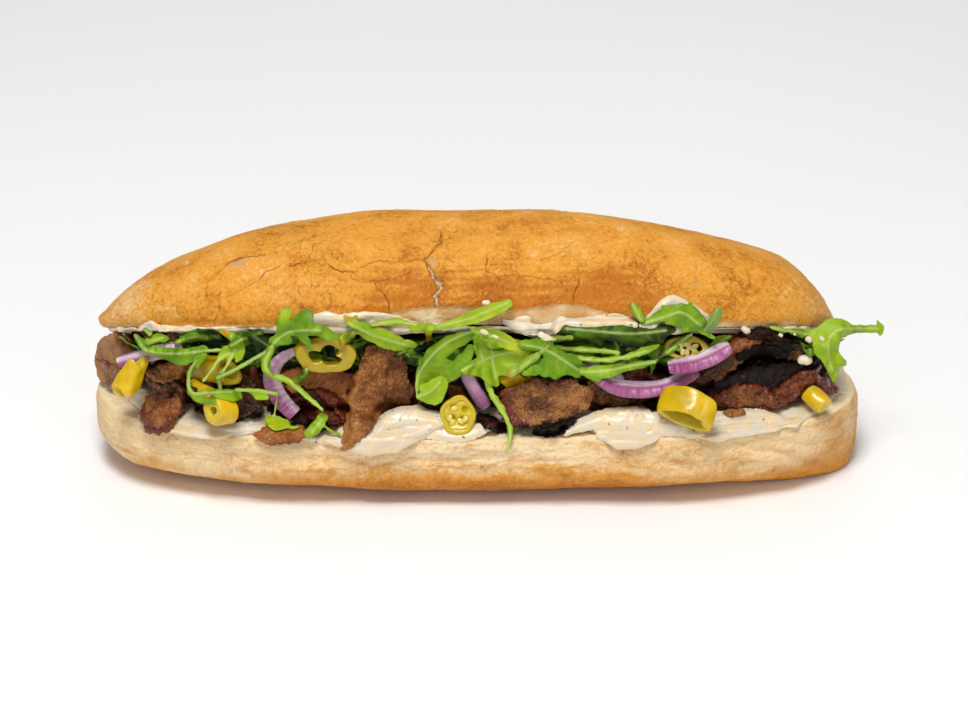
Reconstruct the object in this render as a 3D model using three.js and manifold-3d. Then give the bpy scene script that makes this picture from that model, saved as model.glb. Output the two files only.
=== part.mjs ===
import * as THREE from "three";
import { mergeVertices } from "three/addons/utils/BufferGeometryUtils.js";
import Module from "manifold-3d";

// Beef doner sandwich: a long roll cut from its front, opened on its back crust and filled.
// Millimetres. +X runs along the roll, -Y is the open front, +Z is up.
// The origin is under the middle of the flat base.

// The roll
const rollLength = 309;
const rollWidth = 90;
const lowerHeight = 32;
const upperHeight = 48;
const upperLength = 296;
const upperShift = -3.6;
const openAngle = THREE.MathUtils.degToRad(30);
const endSquareness = 4;
const baseCorner = { reach: 25, rise: 19 };
// The base's corner is fuller away from the middle, and blunter again at both ends
const fullerCorner = { from: 20, to: 85, more: 0.35 };
const bluntEnds = [
  { from: -110, to: -150, less: 0.25 },
  { from: 108, to: 150, less: 1.25 },
];
// The crown falls away towards both ends, and steeply at the very end of the left one
const crownFalls = [
  { from: -80, to: -148, drop: 0.32, power: 1.7 },
  { from: -80, to: -148, drop: 0.24, power: 9 },
  { from: 106, to: 146, drop: 0.85, power: 4 },
];
const lowerSwell = 1.3;
const upperSwell = 1.4;
const crownSwell = 1.5;
const rimUnder = { reach: 3.4, rise: 8 };
const hinge = { reach: 7.5, rise: 7.2, length: 214 };
const outlinePoints = 64;

// Spaces between pieces, and the sauce layers
const gap = 0.3;
const pileGap = 0.4;
const lowerSauce = 2.4;
const upperSauce = 1.9;

// The two filling beds: how far they stay behind the roll's outline, and where they meet
const bed = {
  length: 290,
  front: -25,
  back: 28.5,
  meatAngle: 16,
  rocketAngle: 17.6,
  edgeRound: 1.2,
};

// Thicknesses of the filling
const leafThickness = 0.7;
const stalkHalf = 0.9;
const sliceThickness = 3.4;

// Food colours as the eye sees them
const colours = {
  crust: 0xd9994f,
  sauce: 0xf1ebdb,
  meat: 0x7a4e33,
  char: 0x3a241a,
  pepper: 0xd9b818,
  pepperDeep: 0xb09a20,
  onion: 0xb67fb4,
  rocket: 0x79a82c,
  rocketDark: 0x3f6e22,
  rocketPale: 0xa4bf3d,
};

const halfLength = rollLength / 2;
const halfWidth = rollWidth / 2;

const manifold = await Module();
manifold.setup();

// Smooth noise from -1 to 1 that is the same on every run
function hash(i, j, k, seed) {
  const mixed = Math.sin(i * 127.1 + j * 311.7 + k * 74.7 + seed * 53.3) * 43758.5453;
  return 2 * (mixed - Math.floor(mixed)) - 1;
}

function noise(x, y, z, seed = 0) {
  const cell = [Math.floor(x), Math.floor(y), Math.floor(z)];
  const part = [x - cell[0], y - cell[1], z - cell[2]].map((t) => t * t * (3 - 2 * t));
  let sum = 0;
  for (let corner = 0; corner < 8; corner += 1) {
    const step = [corner & 1, (corner >> 1) & 1, corner >> 2];
    const weight = step.reduce((product, s, axis) => product * (s ? part[axis] : 1 - part[axis]), 1);
    sum += weight * hash(cell[0] + step[0], cell[1] + step[1], cell[2] + step[2], seed);
  }
  return sum;
}

function bell(distance, spread) {
  return Math.exp(-((distance / spread) ** 2));
}

// A closed solid from points and triangles, turned the right way out
function solid(points, faces) {
  const volume = faces.reduce((sum, [a, b, c]) => {
    const [p, q, r] = [points[a], points[b], points[c]];
    return sum + p[0] * (q[1] * r[2] - q[2] * r[1]) - p[1] * (q[0] * r[2] - q[2] * r[0])
      + p[2] * (q[0] * r[1] - q[1] * r[0]);
  }, 0);
  const turned = volume < 0 ? faces.map(([a, b, c]) => [a, c, b]) : faces;
  const geometry = new THREE.BufferGeometry();
  geometry.setAttribute("position", new THREE.Float32BufferAttribute(points.flat(), 3));
  geometry.setIndex(turned.flat());
  return geometry;
}

// A skin over rings of equally many points, closed by a fan at both ends or joined into a loop
function skin(rings, loop = false) {
  const count = rings[0].length;
  const points = rings.flat();
  const faces = [];
  const bands = loop ? rings.length : rings.length - 1;
  for (let row = 0; row < bands; row += 1) {
    const above = (row + 1) % rings.length;
    for (let i = 0; i < count; i += 1) {
      const next = (i + 1) % count;
      faces.push([row * count + i, row * count + next, above * count + next]);
      faces.push([row * count + i, above * count + next, above * count + i]);
    }
  }
  if (!loop) {
    const fan = (ring, first, reverse) => {
      const middle = [0, 1, 2].map((axis) => ring.reduce((sum, p) => sum + p[axis], 0) / count);
      const hub = points.push(middle) - 1;
      for (let i = 0; i < count; i += 1) {
        const edge = [first + i, first + ((i + 1) % count)];
        faces.push(reverse ? [hub, edge[1], edge[0]] : [hub, edge[0], edge[1]]);
      }
    };
    fan(rings[0], 0, true);
    fan(rings[rings.length - 1], (rings.length - 1) * count, false);
  }
  return solid(points, faces);
}

// A thin solid with this outline: both faces are split into triangles alike
function sheet(edge, depthAt, thickness) {
  const contour = edge.map(([x, v]) => new THREE.Vector2(x, v));
  if (THREE.ShapeUtils.isClockWise(contour)) {
    contour.reverse();
  }
  const count = contour.length;
  const triangles = THREE.ShapeUtils.triangulateShape(contour, []);
  const back = contour.map(({ x, y }) => [x, y, depthAt(x, y)]);
  const front = back.map(([x, v, w]) => [x, v, w + thickness]);
  const faces = [];
  triangles.forEach(([a, b, c]) => {
    faces.push([a + count, b + count, c + count]);
    faces.push([c, b, a]);
  });
  for (let i = 0; i < count; i += 1) {
    const next = (i + 1) % count;
    faces.push([i, next, next + count], [i, next + count, i + count]);
  }
  return solid([...back, ...front], faces);
}

// How wide the roll is at x, as a share of its full width
function planShare(x, half = halfLength) {
  return Math.sqrt(Math.max(0, 1 - Math.abs(x / half) ** endSquareness));
}

// Points evenly spaced round the roll's outline seen from above, for a unit length and width
function unitOutline() {
  const fine = [];
  const steps = 720;
  for (let i = 0; i < steps; i += 1) {
    const angle = (i / steps) * 2 * Math.PI;
    const along = Math.sign(Math.cos(angle)) * Math.abs(Math.cos(angle)) ** (2 / endSquareness);
    fine.push(new THREE.Vector2(along * halfLength, Math.sin(angle) * halfWidth));
  }
  const even = new THREE.SplineCurve([...fine, fine[0]]);
  even.arcLengthDivisions = steps;
  return even.getSpacedPoints(outlinePoints).slice(0, outlinePoints)
    .map((p) => [p.x / halfLength, p.y / halfWidth]);
}

const outline = unitOutline();

// One ring of a roll half: the outline pulled in by inset, at this height, less where ease says so
function rollRing(half, inset, height, shift = 0, ease = () => 1) {
  return outline.map(([along, across]) => {
    const pull = inset * ease(along * half);
    const x = shift + along * (half - 1.2 * pull);
    const y = across * (halfWidth - pull);
    return [x, y, height];
  });
}

function howFar(x, from, to) {
  return THREE.MathUtils.clamp((x - from) / (to - from), 0, 1);
}

// How far the base's corner reaches in at this place along the roll, as a share of its usual reach
function baseEase(x) {
  const { from, to, more } = fullerCorner;
  const fuller = 1 + more * THREE.MathUtils.smoothstep(Math.abs(x), from, to);
  return bluntEnds.reduce((ease, end) => ease - end.less * howFar(x, end.from, end.to), fuller);
}

// How much of the crown's height is left at this place along the roll
function crownShare(x) {
  return crownFalls.reduce((share, { from, to, drop, power }) => share - drop * howFar(x, from, to) ** power, 1);
}

// The crust is never quite even
function uneven([x, y, z], amount, seed) {
  const swell = amount * noise(x / 34, y / 22, z / 18, seed);
  const share = 1 + swell / halfWidth;
  return [x + (x / halfLength) * swell, y * share, z];
}

function lowerUneven(point) {
  return uneven(point, lowerSwell, 1);
}

function lowerHalf() {
  const rings = [];
  const cornerSteps = 6;
  for (let i = 0; i <= cornerSteps; i += 1) {
    const angle = (i / cornerSteps) * (Math.PI / 2);
    const inset = baseCorner.reach * (1 - Math.sin(angle));
    const height = baseCorner.rise * (1 - Math.cos(angle));
    rings.push(rollRing(halfLength, inset, height, 0, baseEase));
  }
  const wall = [[0.2, 0.68], [0.5, 0.88], [1.6, 1]];
  wall.forEach(([inset, share]) => rings.push(rollRing(halfLength, inset, lowerHeight * share)));
  return skin(rings.map((ring) => ring.map((p) => lowerUneven(p))));
}

function upperHalf() {
  const half = upperLength / 2;
  const dome = upperHeight - rimUnder.rise;
  const rings = [
    rollRing(half, rimUnder.reach, 0, upperShift),
    rollRing(half, rimUnder.reach * 0.3, rimUnder.rise * 0.45, upperShift),
  ];
  const domeAngles = [0, 10, 20, 30, 40, 50, 60, 69, 77, 84];
  domeAngles.forEach((degrees) => {
    const angle = THREE.MathUtils.degToRad(degrees);
    const height = rimUnder.rise + dome * Math.sin(angle);
    rings.push(outline.map(([along, across]) => [
      upperShift + along * half * Math.cos(angle),
      across * halfWidth * Math.cos(angle),
      height,
    ]));
  });
  const swollen = rings.map((ring, row) => ring.map(([x, y, z]) => {
    const lift = row < 2 ? 0 : crownSwell * noise(x / 40, y / 26, 3.5, 2) * (z / upperHeight);
    return uneven([x, y, (z + lift) * crownShare(x)], upperSwell, 3);
  }));
  return skin(swollen);
}

// Turns a point of the upper half open about the back edge of the cut
function opened() {
  const back = new THREE.Matrix4().makeTranslation(0, halfWidth, lowerHeight);
  const turn = new THREE.Matrix4().makeRotationX(-openAngle);
  const forward = new THREE.Matrix4().makeTranslation(0, -halfWidth, 0);
  return back.multiply(turn).multiply(forward);
}

// The uncut crumb and crust along the back, which still joins the halves
function hingeStrip() {
  const rings = [];
  const stations = 12;
  const around = 12;
  for (let i = 0; i <= stations; i += 1) {
    const along = -Math.cos((i / stations) * Math.PI);
    const x = (along * hinge.length) / 2;
    const size = 0.35 + 0.65 * Math.sqrt(1 - along * along);
    const middle = halfWidth * planShare(x) - hinge.reach;
    rings.push(Array.from({ length: around }, (unused, j) => {
      const angle = (j / around) * 2 * Math.PI;
      const y = middle + Math.cos(angle) * hinge.reach * size;
      return [x, y, lowerHeight + 1.6 + Math.sin(angle) * hinge.rise * size];
    }));
  }
  return skin(rings);
}

function toManifold(geometry) {
  const bare = new THREE.BufferGeometry();
  bare.setAttribute("position", geometry.getAttribute("position").clone());
  bare.setIndex(geometry.getIndex());
  const merged = mergeVertices(bare, 1e-4);
  const mesh = new manifold.Mesh({
    numProp: 3,
    vertProperties: new Float32Array(merged.getAttribute("position").array),
    triVerts: new Uint32Array(merged.getIndex().array),
  });
  return new manifold.Manifold(mesh);
}

function fromManifold(body) {
  const mesh = body.getMesh();
  const geometry = new THREE.BufferGeometry();
  geometry.setAttribute("position", new THREE.BufferAttribute(mesh.vertProperties.slice(), 3));
  geometry.setIndex(new THREE.BufferAttribute(mesh.triVerts.slice(), 1));
  return geometry;
}

function breadGeometry() {
  const upper = upperHalf().applyMatrix4(opened());
  const body = toManifold(lowerHalf()).add(toManifold(upper)).add(toManifold(hingeStrip()));
  return fromManifold(body);
}

// Sauce on the lower half: it lies on the cut and runs over the front edge in lobes
const lowerLobes = [
  { at: -100, spread: 26, reach: 4 },
  { at: -62, spread: 9, reach: 5.5 },
  { at: -38, spread: 15, reach: 7.5 },
  { at: 57, spread: 9, reach: 8.5 },
  { at: 98, spread: 16, reach: 6 },
  { at: 128, spread: 9, reach: 7 },
];
const lowerMounds = [
  { x: -31, y: -36, spread: 17, rise: 3.2 },
  { x: 70, y: -36, spread: 22, rise: 1.4 },
  { x: -100, y: -38, spread: 18, rise: 1 },
];

// The back edge of the sauce: clear of the hinge, and out to the rim where the ends are cut through
function sauceBack(x) {
  const cutThrough = THREE.MathUtils.smoothstep(Math.abs(x), 0.52 * hinge.length, 0.64 * hinge.length);
  const inset = THREE.MathUtils.lerp(2 * hinge.reach + 1.4, 3, cutThrough);
  return halfWidth * planShare(x) - inset;
}

function lowerSauceGeometry() {
  const columns = 46;
  const rows = [0, 1.5, 4, 8, 14, 24, 60];
  const last = rows.length - 1;
  const edgeInset = 1.8;
  const edgeStep = 1.4;
  const endAngle = 0.07 * Math.PI;
  const rings = [];
  for (let i = 0; i <= columns; i += 1) {
    const angle = endAngle + (i / columns) * (Math.PI - 2 * endAngle);
    const x = -(halfLength - 1.5) * Math.cos(angle);
    const edge = -halfWidth * planShare(x) + edgeInset;
    const over = lowerLobes.reduce((sum, lobe) => sum + lobe.reach * bell(x - lobe.at, lobe.spread), -6);
    const room = sauceBack(x) - edge + over;
    const upperLine = [];
    const lowerLine = [];
    rows.forEach((row, j) => {
      const along = j === last ? room : Math.min(row, room * (0.08 + 0.14 * j));
      const beyond = Math.max(0, over - along);
      const outside = Math.min(1, beyond / edgeStep);
      const y = edge - over + along + beyond * 0.65 - outside * (edgeInset + 2 * gap);
      const z = lowerHeight + gap - 0.8 * Math.max(0, beyond - edgeStep);
      const mound = lowerMounds.reduce(
        (sum, m) => sum + m.rise * bell(x - m.x, m.spread) * bell(y - m.y, m.spread * 0.55), 0);
      const wave = 0.35 * noise(x / 7, y / 6, 0, 9);
      const full = j === last ? 0.2 : 1 - Math.exp(-(along + 0.8) / 2);
      const height = Math.max(0.5, (lowerSauce + mound + wave) * full);
      lowerLine.push([x, y, z]);
      upperLine.push([x, y - outside * height * 0.5, z + height]);
    });
    rings.push([...upperLine, ...lowerLine.reverse()]);
  }
  return skin(rings.map((ring) => ring.map(lowerUneven)));
}

// Sauce on the upper half's cut, with beads hanging at the front lip
const upperBeads = [
  { at: -127, spread: 6, drop: 1.6 },
  { at: -113, spread: 5, drop: 1.6 },
  { at: -38, spread: 18, drop: 1.6 },
  { at: 26, spread: 9, drop: 2.6 },
  { at: 50, spread: 12, drop: 1.4 },
];

function upperSauceGeometry() {
  const half = upperLength / 2;
  const ring = (inset, height, bead) => outline.map(([along, across]) => {
    const wave = 0.8 * noise(along * 16, across * 5, 0, 12);
    const x = upperShift + along * (half - 1.2 * (inset + wave));
    const front = across < -0.5 ? 1 : 0;
    const hinged = Math.min(across * (halfWidth - inset - wave), halfWidth - 2 * hinge.reach - 1.5);
    const drop = bead * front
      * upperBeads.reduce((sum, b) => sum + b.drop * bell(x - b.at, b.spread), 0);
    return [x, hinged, height - drop];
  });
  const rings = [
    ring(4.2, -gap, 0),
    ring(2.4, -gap - upperSauce * 0.5, 0.7),
    ring(3.4, -gap - upperSauce, 1),
    ring(8, -gap - upperSauce, 0),
  ];
  return skin(rings).applyMatrix4(opened());
}

// A bed of filling: a wedge between two planes through the back edge of the cut
function bedGeometry(lowAt, highAt, rows, relief, seed) {
  const middle = (bed.front + bed.back) / 2;
  const half = (bed.back - bed.front) / 2;
  const rings = [];
  for (let row = 0; row <= rows; row += 1) {
    const share = row / rows;
    rings.push(outline.map(([along, across]) => {
      const push = relief * noise(along * 22, across * 3 + along * 5, row * 1.7, seed);
      const inner = row === 0 || row === rows ? bed.edgeRound : 0;
      const x = along * (bed.length / 2 + push * 0.7 - inner);
      const y = middle + across * (half + (across < 0.3 ? push : 0) - inner);
      const [low, high] = [lowAt(y), highAt(y)];
      return [x, y, low + (high - low) * share];
    }));
  }
  return skin(rings);
}

function planeThroughHinge(degrees, offset) {
  const slope = Math.tan(THREE.MathUtils.degToRad(degrees));
  return (y) => lowerHeight + (halfWidth - y) * slope + offset;
}

function meatBedGeometry() {
  const low = () => lowerHeight + gap + lowerSauce + 1.1;
  return bedGeometry(low, planeThroughHinge(bed.meatAngle, 0.4), 4, 2.4, 21);
}

function rocketBedGeometry() {
  const openDegrees = THREE.MathUtils.radToDeg(openAngle);
  const below = -(2 * gap + upperSauce + 0.2) / Math.cos(openAngle);
  const low = planeThroughHinge(bed.rocketAngle, 0);
  return bedGeometry(low, planeThroughHinge(openDegrees, below), 3, 2, 22);
}

// The filling that shows is laid out on the sloping face of the mouth.
// Face coordinates: x along the roll, v up the face, w out of it. The face leans back by openAngle.
const faceTurn = Math.PI / 2 - openAngle;
const faceOf = (y, z) => ({
  v: y * Math.sin(openAngle) + z * Math.cos(openAngle),
  w: -y * Math.cos(openAngle) + z * Math.sin(openAngle),
});
const toFace = new THREE.Matrix4().makeRotationX(-faceTurn);
const upperCut = faceOf(halfWidth, lowerHeight);

// How far out the mouth's face is at this place, from the lower cut edge to the upper lip
function mouth(x, v) {
  const share = Math.max(planShare(x), 0.12);
  const low = faceOf(-halfWidth * share, lowerHeight);
  const lip = { v: upperCut.v, w: upperCut.w + halfWidth * (1 + share) };
  const rise = (v - low.v) / (lip.v - low.v);
  return low.w + (lip.w - low.w) * THREE.MathUtils.clamp(rise, -0.3, 1.4);
}

// The pile keeps the outermost surface over the face, so that each piece rests on those behind it
const pileBox = { left: -180, right: 180, low: -25, high: 110, cell: 0.35 };

class Pile {
  constructor(box) {
    this.box = box;
    this.columns = Math.ceil((box.right - box.left) / box.cell);
    this.rows = Math.ceil((box.high - box.low) / box.cell);
    this.front = new Float32Array(this.columns * this.rows).fill(-Infinity);
  }

  place(x, v) {
    const i = Math.floor((x - this.box.left) / this.box.cell);
    const j = Math.floor((v - this.box.low) / this.box.cell);
    const inside = i > 0 && j > 0 && i < this.columns - 1 && j < this.rows - 1;
    return inside ? j * this.columns + i : -1;
  }

  // Calls touch(place, w) all over the surface of a geometry in face coordinates
  visit(geometry, touch) {
    const position = geometry.getAttribute("position");
    const index = geometry.getIndex();
    const corner = (n) => {
      const id = index.getX(n);
      return [position.getX(id), position.getY(id), position.getZ(id)];
    };
    const at = (p) => {
      const place = this.place(p[0], p[1]);
      if (place >= 0) {
        touch(place, p[2]);
      }
    };
    for (let n = 0; n < index.count; n += 3) {
      const [a, b, c] = [corner(n), corner(n + 1), corner(n + 2)];
      const span = (p, q) => Math.hypot(p[0] - q[0], p[1] - q[1]);
      const longest = Math.max(span(a, b), span(b, c), span(a, c));
      const steps = Math.max(1, Math.ceil(longest / (this.box.cell * 0.8)));
      for (let i = 0; i <= steps; i += 1) {
        for (let j = 0; j <= steps - i; j += 1) {
          const [s, t] = [i / steps, j / steps];
          at([0, 1, 2].map((axis) => a[axis] + (b[axis] - a[axis]) * s + (c[axis] - a[axis]) * t));
        }
      }
    }
  }

  add(geometry) {
    this.visit(geometry, (place, w) => {
      this.front[place] = Math.max(this.front[place], w);
    });
  }

  highest(place) {
    let top = -Infinity;
    for (let j = -1; j <= 1; j += 1) {
      for (let i = -1; i <= 1; i += 1) {
        top = Math.max(top, this.front[place + j * this.columns + i]);
      }
    }
    return top;
  }

  // How far a geometry has to move out to clear what is behind it
  need(geometry) {
    let need = -Infinity;
    this.visit(geometry, (place, w) => {
      need = Math.max(need, this.highest(place) + pileGap - w);
    });
    return need;
  }

  // The smoothed outer surface near a place, never less than floor
  level(x, v, floor) {
    const reach = 3;
    let sum = 0;
    let count = 0;
    for (let i = -2; i <= 2; i += 1) {
      for (let j = -2; j <= 2; j += 1) {
        const place = this.place(x + i * reach * 0.5, v + j * reach * 0.5);
        const top = place < 0 ? -Infinity : this.highest(place);
        sum += Math.max(top, floor);
        count += 1;
      }
    }
    return sum / count;
  }
}

const pile = new Pile(pileBox);
const filling = new THREE.Group();
filling.rotation.x = faceTurn;

function material(colour, roughness) {
  return new THREE.MeshStandardMaterial({ color: colour, roughness, metalness: 0 });
}

function mesh(name, geometry, colour, roughness) {
  const item = new THREE.Mesh(geometry, material(colour, roughness));
  item.name = name;
  return item;
}

// Lays a geometry in face coordinates on the pile: it moves out until it is clear
function lay(name, geometry, colour, roughness, atLeast = 0) {
  const shift = Math.max(pile.need(geometry), atLeast);
  geometry.translate(0, 0, shift);
  pile.add(geometry);
  filling.add(mesh(name, geometry, colour, roughness));
}

// The outline of a leaf along its rib. Each side's lobes lean towards the tip.
function leafOutline({ rib, half, stalk = 0.15, lobes = 3, notch = 0.6, base = stalkHalf }) {
  const curve = new THREE.SplineCurve(rib.map(([x, v]) => new THREE.Vector2(x, v)));
  const stations = lobes * 4 + 3;
  const side = (sign) => {
    const line = [];
    for (let i = 0; i <= stations; i += 1) {
      const t = i / stations;
      const point = curve.getPointAt(t);
      const along = curve.getTangentAt(t);
      const blade = Math.max(0, (t - stalk) / (1 - stalk));
      const body = Math.sin(Math.PI * blade ** 0.75) ** 0.6;
      const phase = 2 * Math.PI * (lobes * blade + (sign > 0 ? 0 : 0.3));
      const lobe = 1 - notch * (0.5 + 0.5 * Math.cos(phase));
      const reach = Math.max(base * (1 - 0.6 * t), half * body * lobe);
      const lean = 0.35 * (reach - base);
      line.push([
        point.x - sign * along.y * reach + along.x * lean,
        point.y + sign * along.x * reach + along.y * lean,
      ]);
    }
    return line;
  };
  return [...side(1), ...side(-1).reverse()];
}

function layLeaf(name, leaf) {
  const { lift = -7, tone = colours.rocket, sway = 0.6, seed = 1 } = leaf;
  const depthAt = (x, v) => {
    const floor = mouth(x, v) + lift;
    return pile.level(x, v, floor) + sway * noise(x / 7, v / 7, 0, seed);
  };
  lay(name, sheet(leafOutline(leaf), depthAt, leafThickness), tone, 0.5);
}

// A ragged slice of meat: an egg-shaped outline, bent and torn, thinner at its rim
function laySlice(name, slice) {
  const { at, half, turn = 0, bend = 0, taper = 0, thick = sliceThickness } = slice;
  const { lift = -14, seed = 1, torn = 0.14, tone = colours.meat, cup = 0 } = slice;
  const angle = THREE.MathUtils.degToRad(turn);
  const around = 18;
  const spot = (share, step) => {
    const theta = (step / around) * 2 * Math.PI;
    const tear = 1 + torn * hash(step, seed, 1, 5) * (share > 0.9 ? 1 : 0.4);
    const a = half[0] * share * tear * Math.cos(theta);
    const across = half[1] * share * tear * Math.sin(theta) * (1 + taper * Math.cos(theta));
    const b = across + bend * (a / half[0]) ** 2;
    return [
      at[0] + a * Math.cos(angle) - b * Math.sin(angle),
      at[1] + a * Math.sin(angle) + b * Math.cos(angle),
    ];
  };
  const ring = (share, height) => Array.from({ length: around }, (unused, step) => {
    const [x, v] = spot(share, step);
    const under = pile.level(x, v, mouth(x, v) + lift);
    const lump = height * 0.28 * noise(x / 3.4, v / 3.4, 0, seed);
    return [x, v, under + height + lump + cup * share * share];
  });
  const section = [[0.4, 1], [0.8, 0.86], [1, 0.5], [0.86, 0], [0.4, 0]];
  const rings = section.map(([share, height]) => ring(share, height * thick));
  lay(name, skin(rings), tone, 0.6);
}

// Turns a stiff piece to lie along the mouth's face, which curves back towards the roll's ends
function turnToMouth(geometry, x, v) {
  const reach = 5;
  const slope = (mouth(x + reach, v) - mouth(x - reach, v)) / (2 * reach);
  geometry.rotateY(-Math.atan(slope));
}

// A ring or tube cut from a pickled pepper: outer radius, wall, length, and which way it faces
function layPepper(name, pepper) {
  const { at, radius, wall = 2, long, squash = 1, turn = 0, lean = 0, spin = 0 } = pepper;
  const { lift = -9, seed = 1, tone = colours.pepper, slant = 0.15 } = pepper;
  const around = 14;
  const rings = Array.from({ length: around }, (unused, step) => {
    const theta = (step / around) * 2 * Math.PI;
    const wobble = 1 + 0.07 * hash(step, seed, 2, 6);
    const point = (size, height) => [
      Math.cos(theta) * size * wobble,
      Math.sin(theta) * size * wobble * squash,
      height + slant * long * Math.cos(theta + seed),
    ];
    const inner = radius - wall;
    return [
      point(radius * 0.93, long / 2), point(radius, long * 0.3), point(radius, -long * 0.35),
      point(radius * 0.9, -long / 2), point(inner, -long * 0.45), point(inner, long * 0.42),
    ];
  });
  const geometry = skin(rings, true);
  geometry.rotateZ(THREE.MathUtils.degToRad(spin));
  geometry.rotateY(THREE.MathUtils.degToRad(lean));
  geometry.rotateZ(THREE.MathUtils.degToRad(turn));
  turnToMouth(geometry, ...at);
  geometry.translate(at[0], at[1], 0);
  lay(name, geometry, tone, 0.3, mouth(at[0], at[1]) + lift);
}

// A strip of red onion: a curved band with square edges, rolled so that skin and cut both show
function layOnion(name, onion) {
  const { path, width, thick = 2.4, roll = 25, bow = 1.5, lift = -12, ends = 0.55 } = onion;
  const curve = new THREE.SplineCurve(path.map(([x, v]) => new THREE.Vector2(x, v)));
  const stations = 9;
  const rings = [];
  for (let i = 0; i <= stations; i += 1) {
    const t = i / stations;
    const point = curve.getPointAt(t);
    const along = curve.getTangentAt(t);
    const size = ends + (1 - ends) * Math.sin(Math.PI * t) ** 0.5;
    const under = pile.level(point.x, point.y, mouth(point.x, point.y) + lift);
    const angle = THREE.MathUtils.degToRad(roll);
    const corners = [[-1, -1], [1, -1], [1, 1], [-1, 1]];
    rings.push(corners.map(([side, face]) => {
      const a = (side * width * size) / 2;
      const b = (face * thick) / 2;
      const across = a * Math.cos(angle) - b * Math.sin(angle);
      const out = a * Math.sin(angle) + b * Math.cos(angle);
      return [
        point.x - along.y * across,
        point.y + along.x * across,
        under + thick + out + bow * Math.sin(Math.PI * t),
      ];
    }));
  }
  lay(name, skin(rings), colours.onion, 0.35);
}

// A drop or smear of sauce: a low rounded patch on what is behind it
function laySauce(name, patch) {
  const { at, half, turn = 0, thick, lift = -2, seed = 1 } = patch;
  laySlice(name, { at, half, turn, thick, lift, seed, torn: 0.2, tone: colours.sauce });
}

const bread = breadGeometry();
const sauceLower = lowerSauceGeometry();
const sauceUpper = upperSauceGeometry();
const meatBed = meatBedGeometry();
const rocketBed = rocketBedGeometry();
[bread, sauceLower, sauceUpper, meatBed, rocketBed]
  .forEach((geometry) => pile.add(geometry.clone().applyMatrix4(toFace)));

const dark = { tone: colours.char };
const deep = { tone: colours.pepperDeep };

// What lies deepest in the mouth
layPepper("pepper_ring_02", {
  at: [-104, 34], radius: 5.2, long: 17, turn: -8, lean: 78, lift: -16, ...deep,
});
layPepper("pepper_ring_08", { at: [82, 42.2], radius: 9, long: 4.4, squash: 0.46, lift: -13, ...deep });
layOnion("onion_strip_02", { path: [[-131, 45], [-124, 44.6], [-117, 43]], width: 3.4, roll: 10 });
layLeaf("rocket_leaf_10", {
  rib: [[28, 48], [48, 45.6], [64, 44.6], [80, 47]], half: 6.4, lobes: 3, notch: 0.45,
  tone: colours.rocketDark, lift: -10, seed: 10,
});
layPepper("pepper_ring_07", {
  at: [15, 31], radius: 4, long: 9, turn: 20, lean: 70, wall: 1.6, lift: -14,
});
layOnion("onion_strip_04", { path: [[-4.5, 32.5], [-1, 26], [4, 18.5]], width: 6.4, lift: -14 });
layPepper("pepper_ring_03", {
  at: [-106.6, 24], radius: 3.4, long: 10, turn: -25, lean: 80, wall: 1.6, lift: -12,
});

// Slices of meat, from the left end to the right
laySlice("meat_slice_01", { at: [-145, 38], half: [9.6, 7.6], turn: 80, cup: -2, seed: 1 });
laySlice("meat_slice_02", { at: [-122, 31.6], half: [8, 5], turn: 24, seed: 2 });
laySlice("meat_slice_03", { at: [-124, 19.5], half: [13, 8.6], turn: 62, taper: -0.2, seed: 3 });
laySlice("meat_slice_04", { at: [-91, 20.5], half: [8.6, 7], turn: 35, seed: 4, ...dark });
laySlice("meat_slice_05", { at: [-60, 27.8], half: [17, 8], turn: -8, seed: 5 });
laySlice("meat_slice_06", { at: [-59.5, 13.2], half: [11, 4], turn: 10, seed: 6, ...dark });
laySlice("meat_slice_07", { at: [-75, 8.6], half: [12.6, 4.6], turn: 8, seed: 7, thick: 2.6 });
laySlice("meat_slice_08", { at: [-17.6, 19.6], half: [4.6, 3.6], seed: 8, ...dark });
laySlice("meat_slice_09", {
  at: [-38, 24.5], half: [19.6, 12], turn: 68, taper: 0.25, bend: 3, seed: 9, cup: 1.5,
});
laySlice("meat_slice_10", { at: [52.5, 24.4], half: [11, 6.4], turn: -18, seed: 10 });
laySlice("meat_slice_11", {
  at: [26.4, 20.8], half: [19.6, 11], turn: 7, taper: -0.12, seed: 11, thick: 5,
});
laySlice("meat_slice_12", { at: [114.5, 26.6], half: [23, 10], turn: 9, seed: 12, thick: 4, ...dark });
laySlice("meat_slice_13", { at: [123, 41.6], half: [10.5, 4.6], turn: -8, seed: 13, ...dark });
laySlice("meat_slice_14", { at: [97, 36], half: [17.4, 4.6], turn: 36, seed: 14 });
laySlice("meat_slice_15", { at: [141, 27.4], half: [5.4, 3.6], turn: -35, seed: 15 });

// Onion strips and pepper rings that lie on the meat
layOnion("onion_strip_01", {
  path: [[-142, 36.4], [-132, 38.6], [-122, 41], [-115, 42.4]], width: 6, bow: 0.5,
});
layOnion("onion_strip_03", {
  path: [[-74, 40.6], [-79.7, 36.5], [-82, 30.4], [-81.2, 25], [-77.3, 19.6], [-72.8, 16.6]],
  width: 5.4, roll: -25, bow: 1,
});
layOnion("onion_strip_06", { path: [[42, 35], [50, 33.4], [57.5, 29.4]], width: 4.6, roll: -20 });
layOnion("onion_strip_05", {
  path: [[48.6, 30], [56, 26.6], [65.5, 25.8], [75.5, 27.4], [86, 32.8]], width: 5.6,
  roll: -28, bow: 2,
});
layOnion("onion_strip_07", {
  path: [[75, 35.2], [87.2, 37.2], [98.4, 42.4]], width: 5.4, roll: -28, bow: 2,
});
layPepper("pepper_ring_01", { at: [-136, 31.2], radius: 5.6, long: 13, turn: 62, lean: 74, wall: 1.8 });
layPepper("pepper_ring_04", { at: [-99, 18], radius: 6, long: 11.5, turn: 186, lean: 52, lift: -8 });
layPepper("pepper_ring_05", {
  at: [-59, 40], radius: 12, long: 7, squash: 0.52, turn: 0, lean: 12, lift: -8,
});
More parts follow.
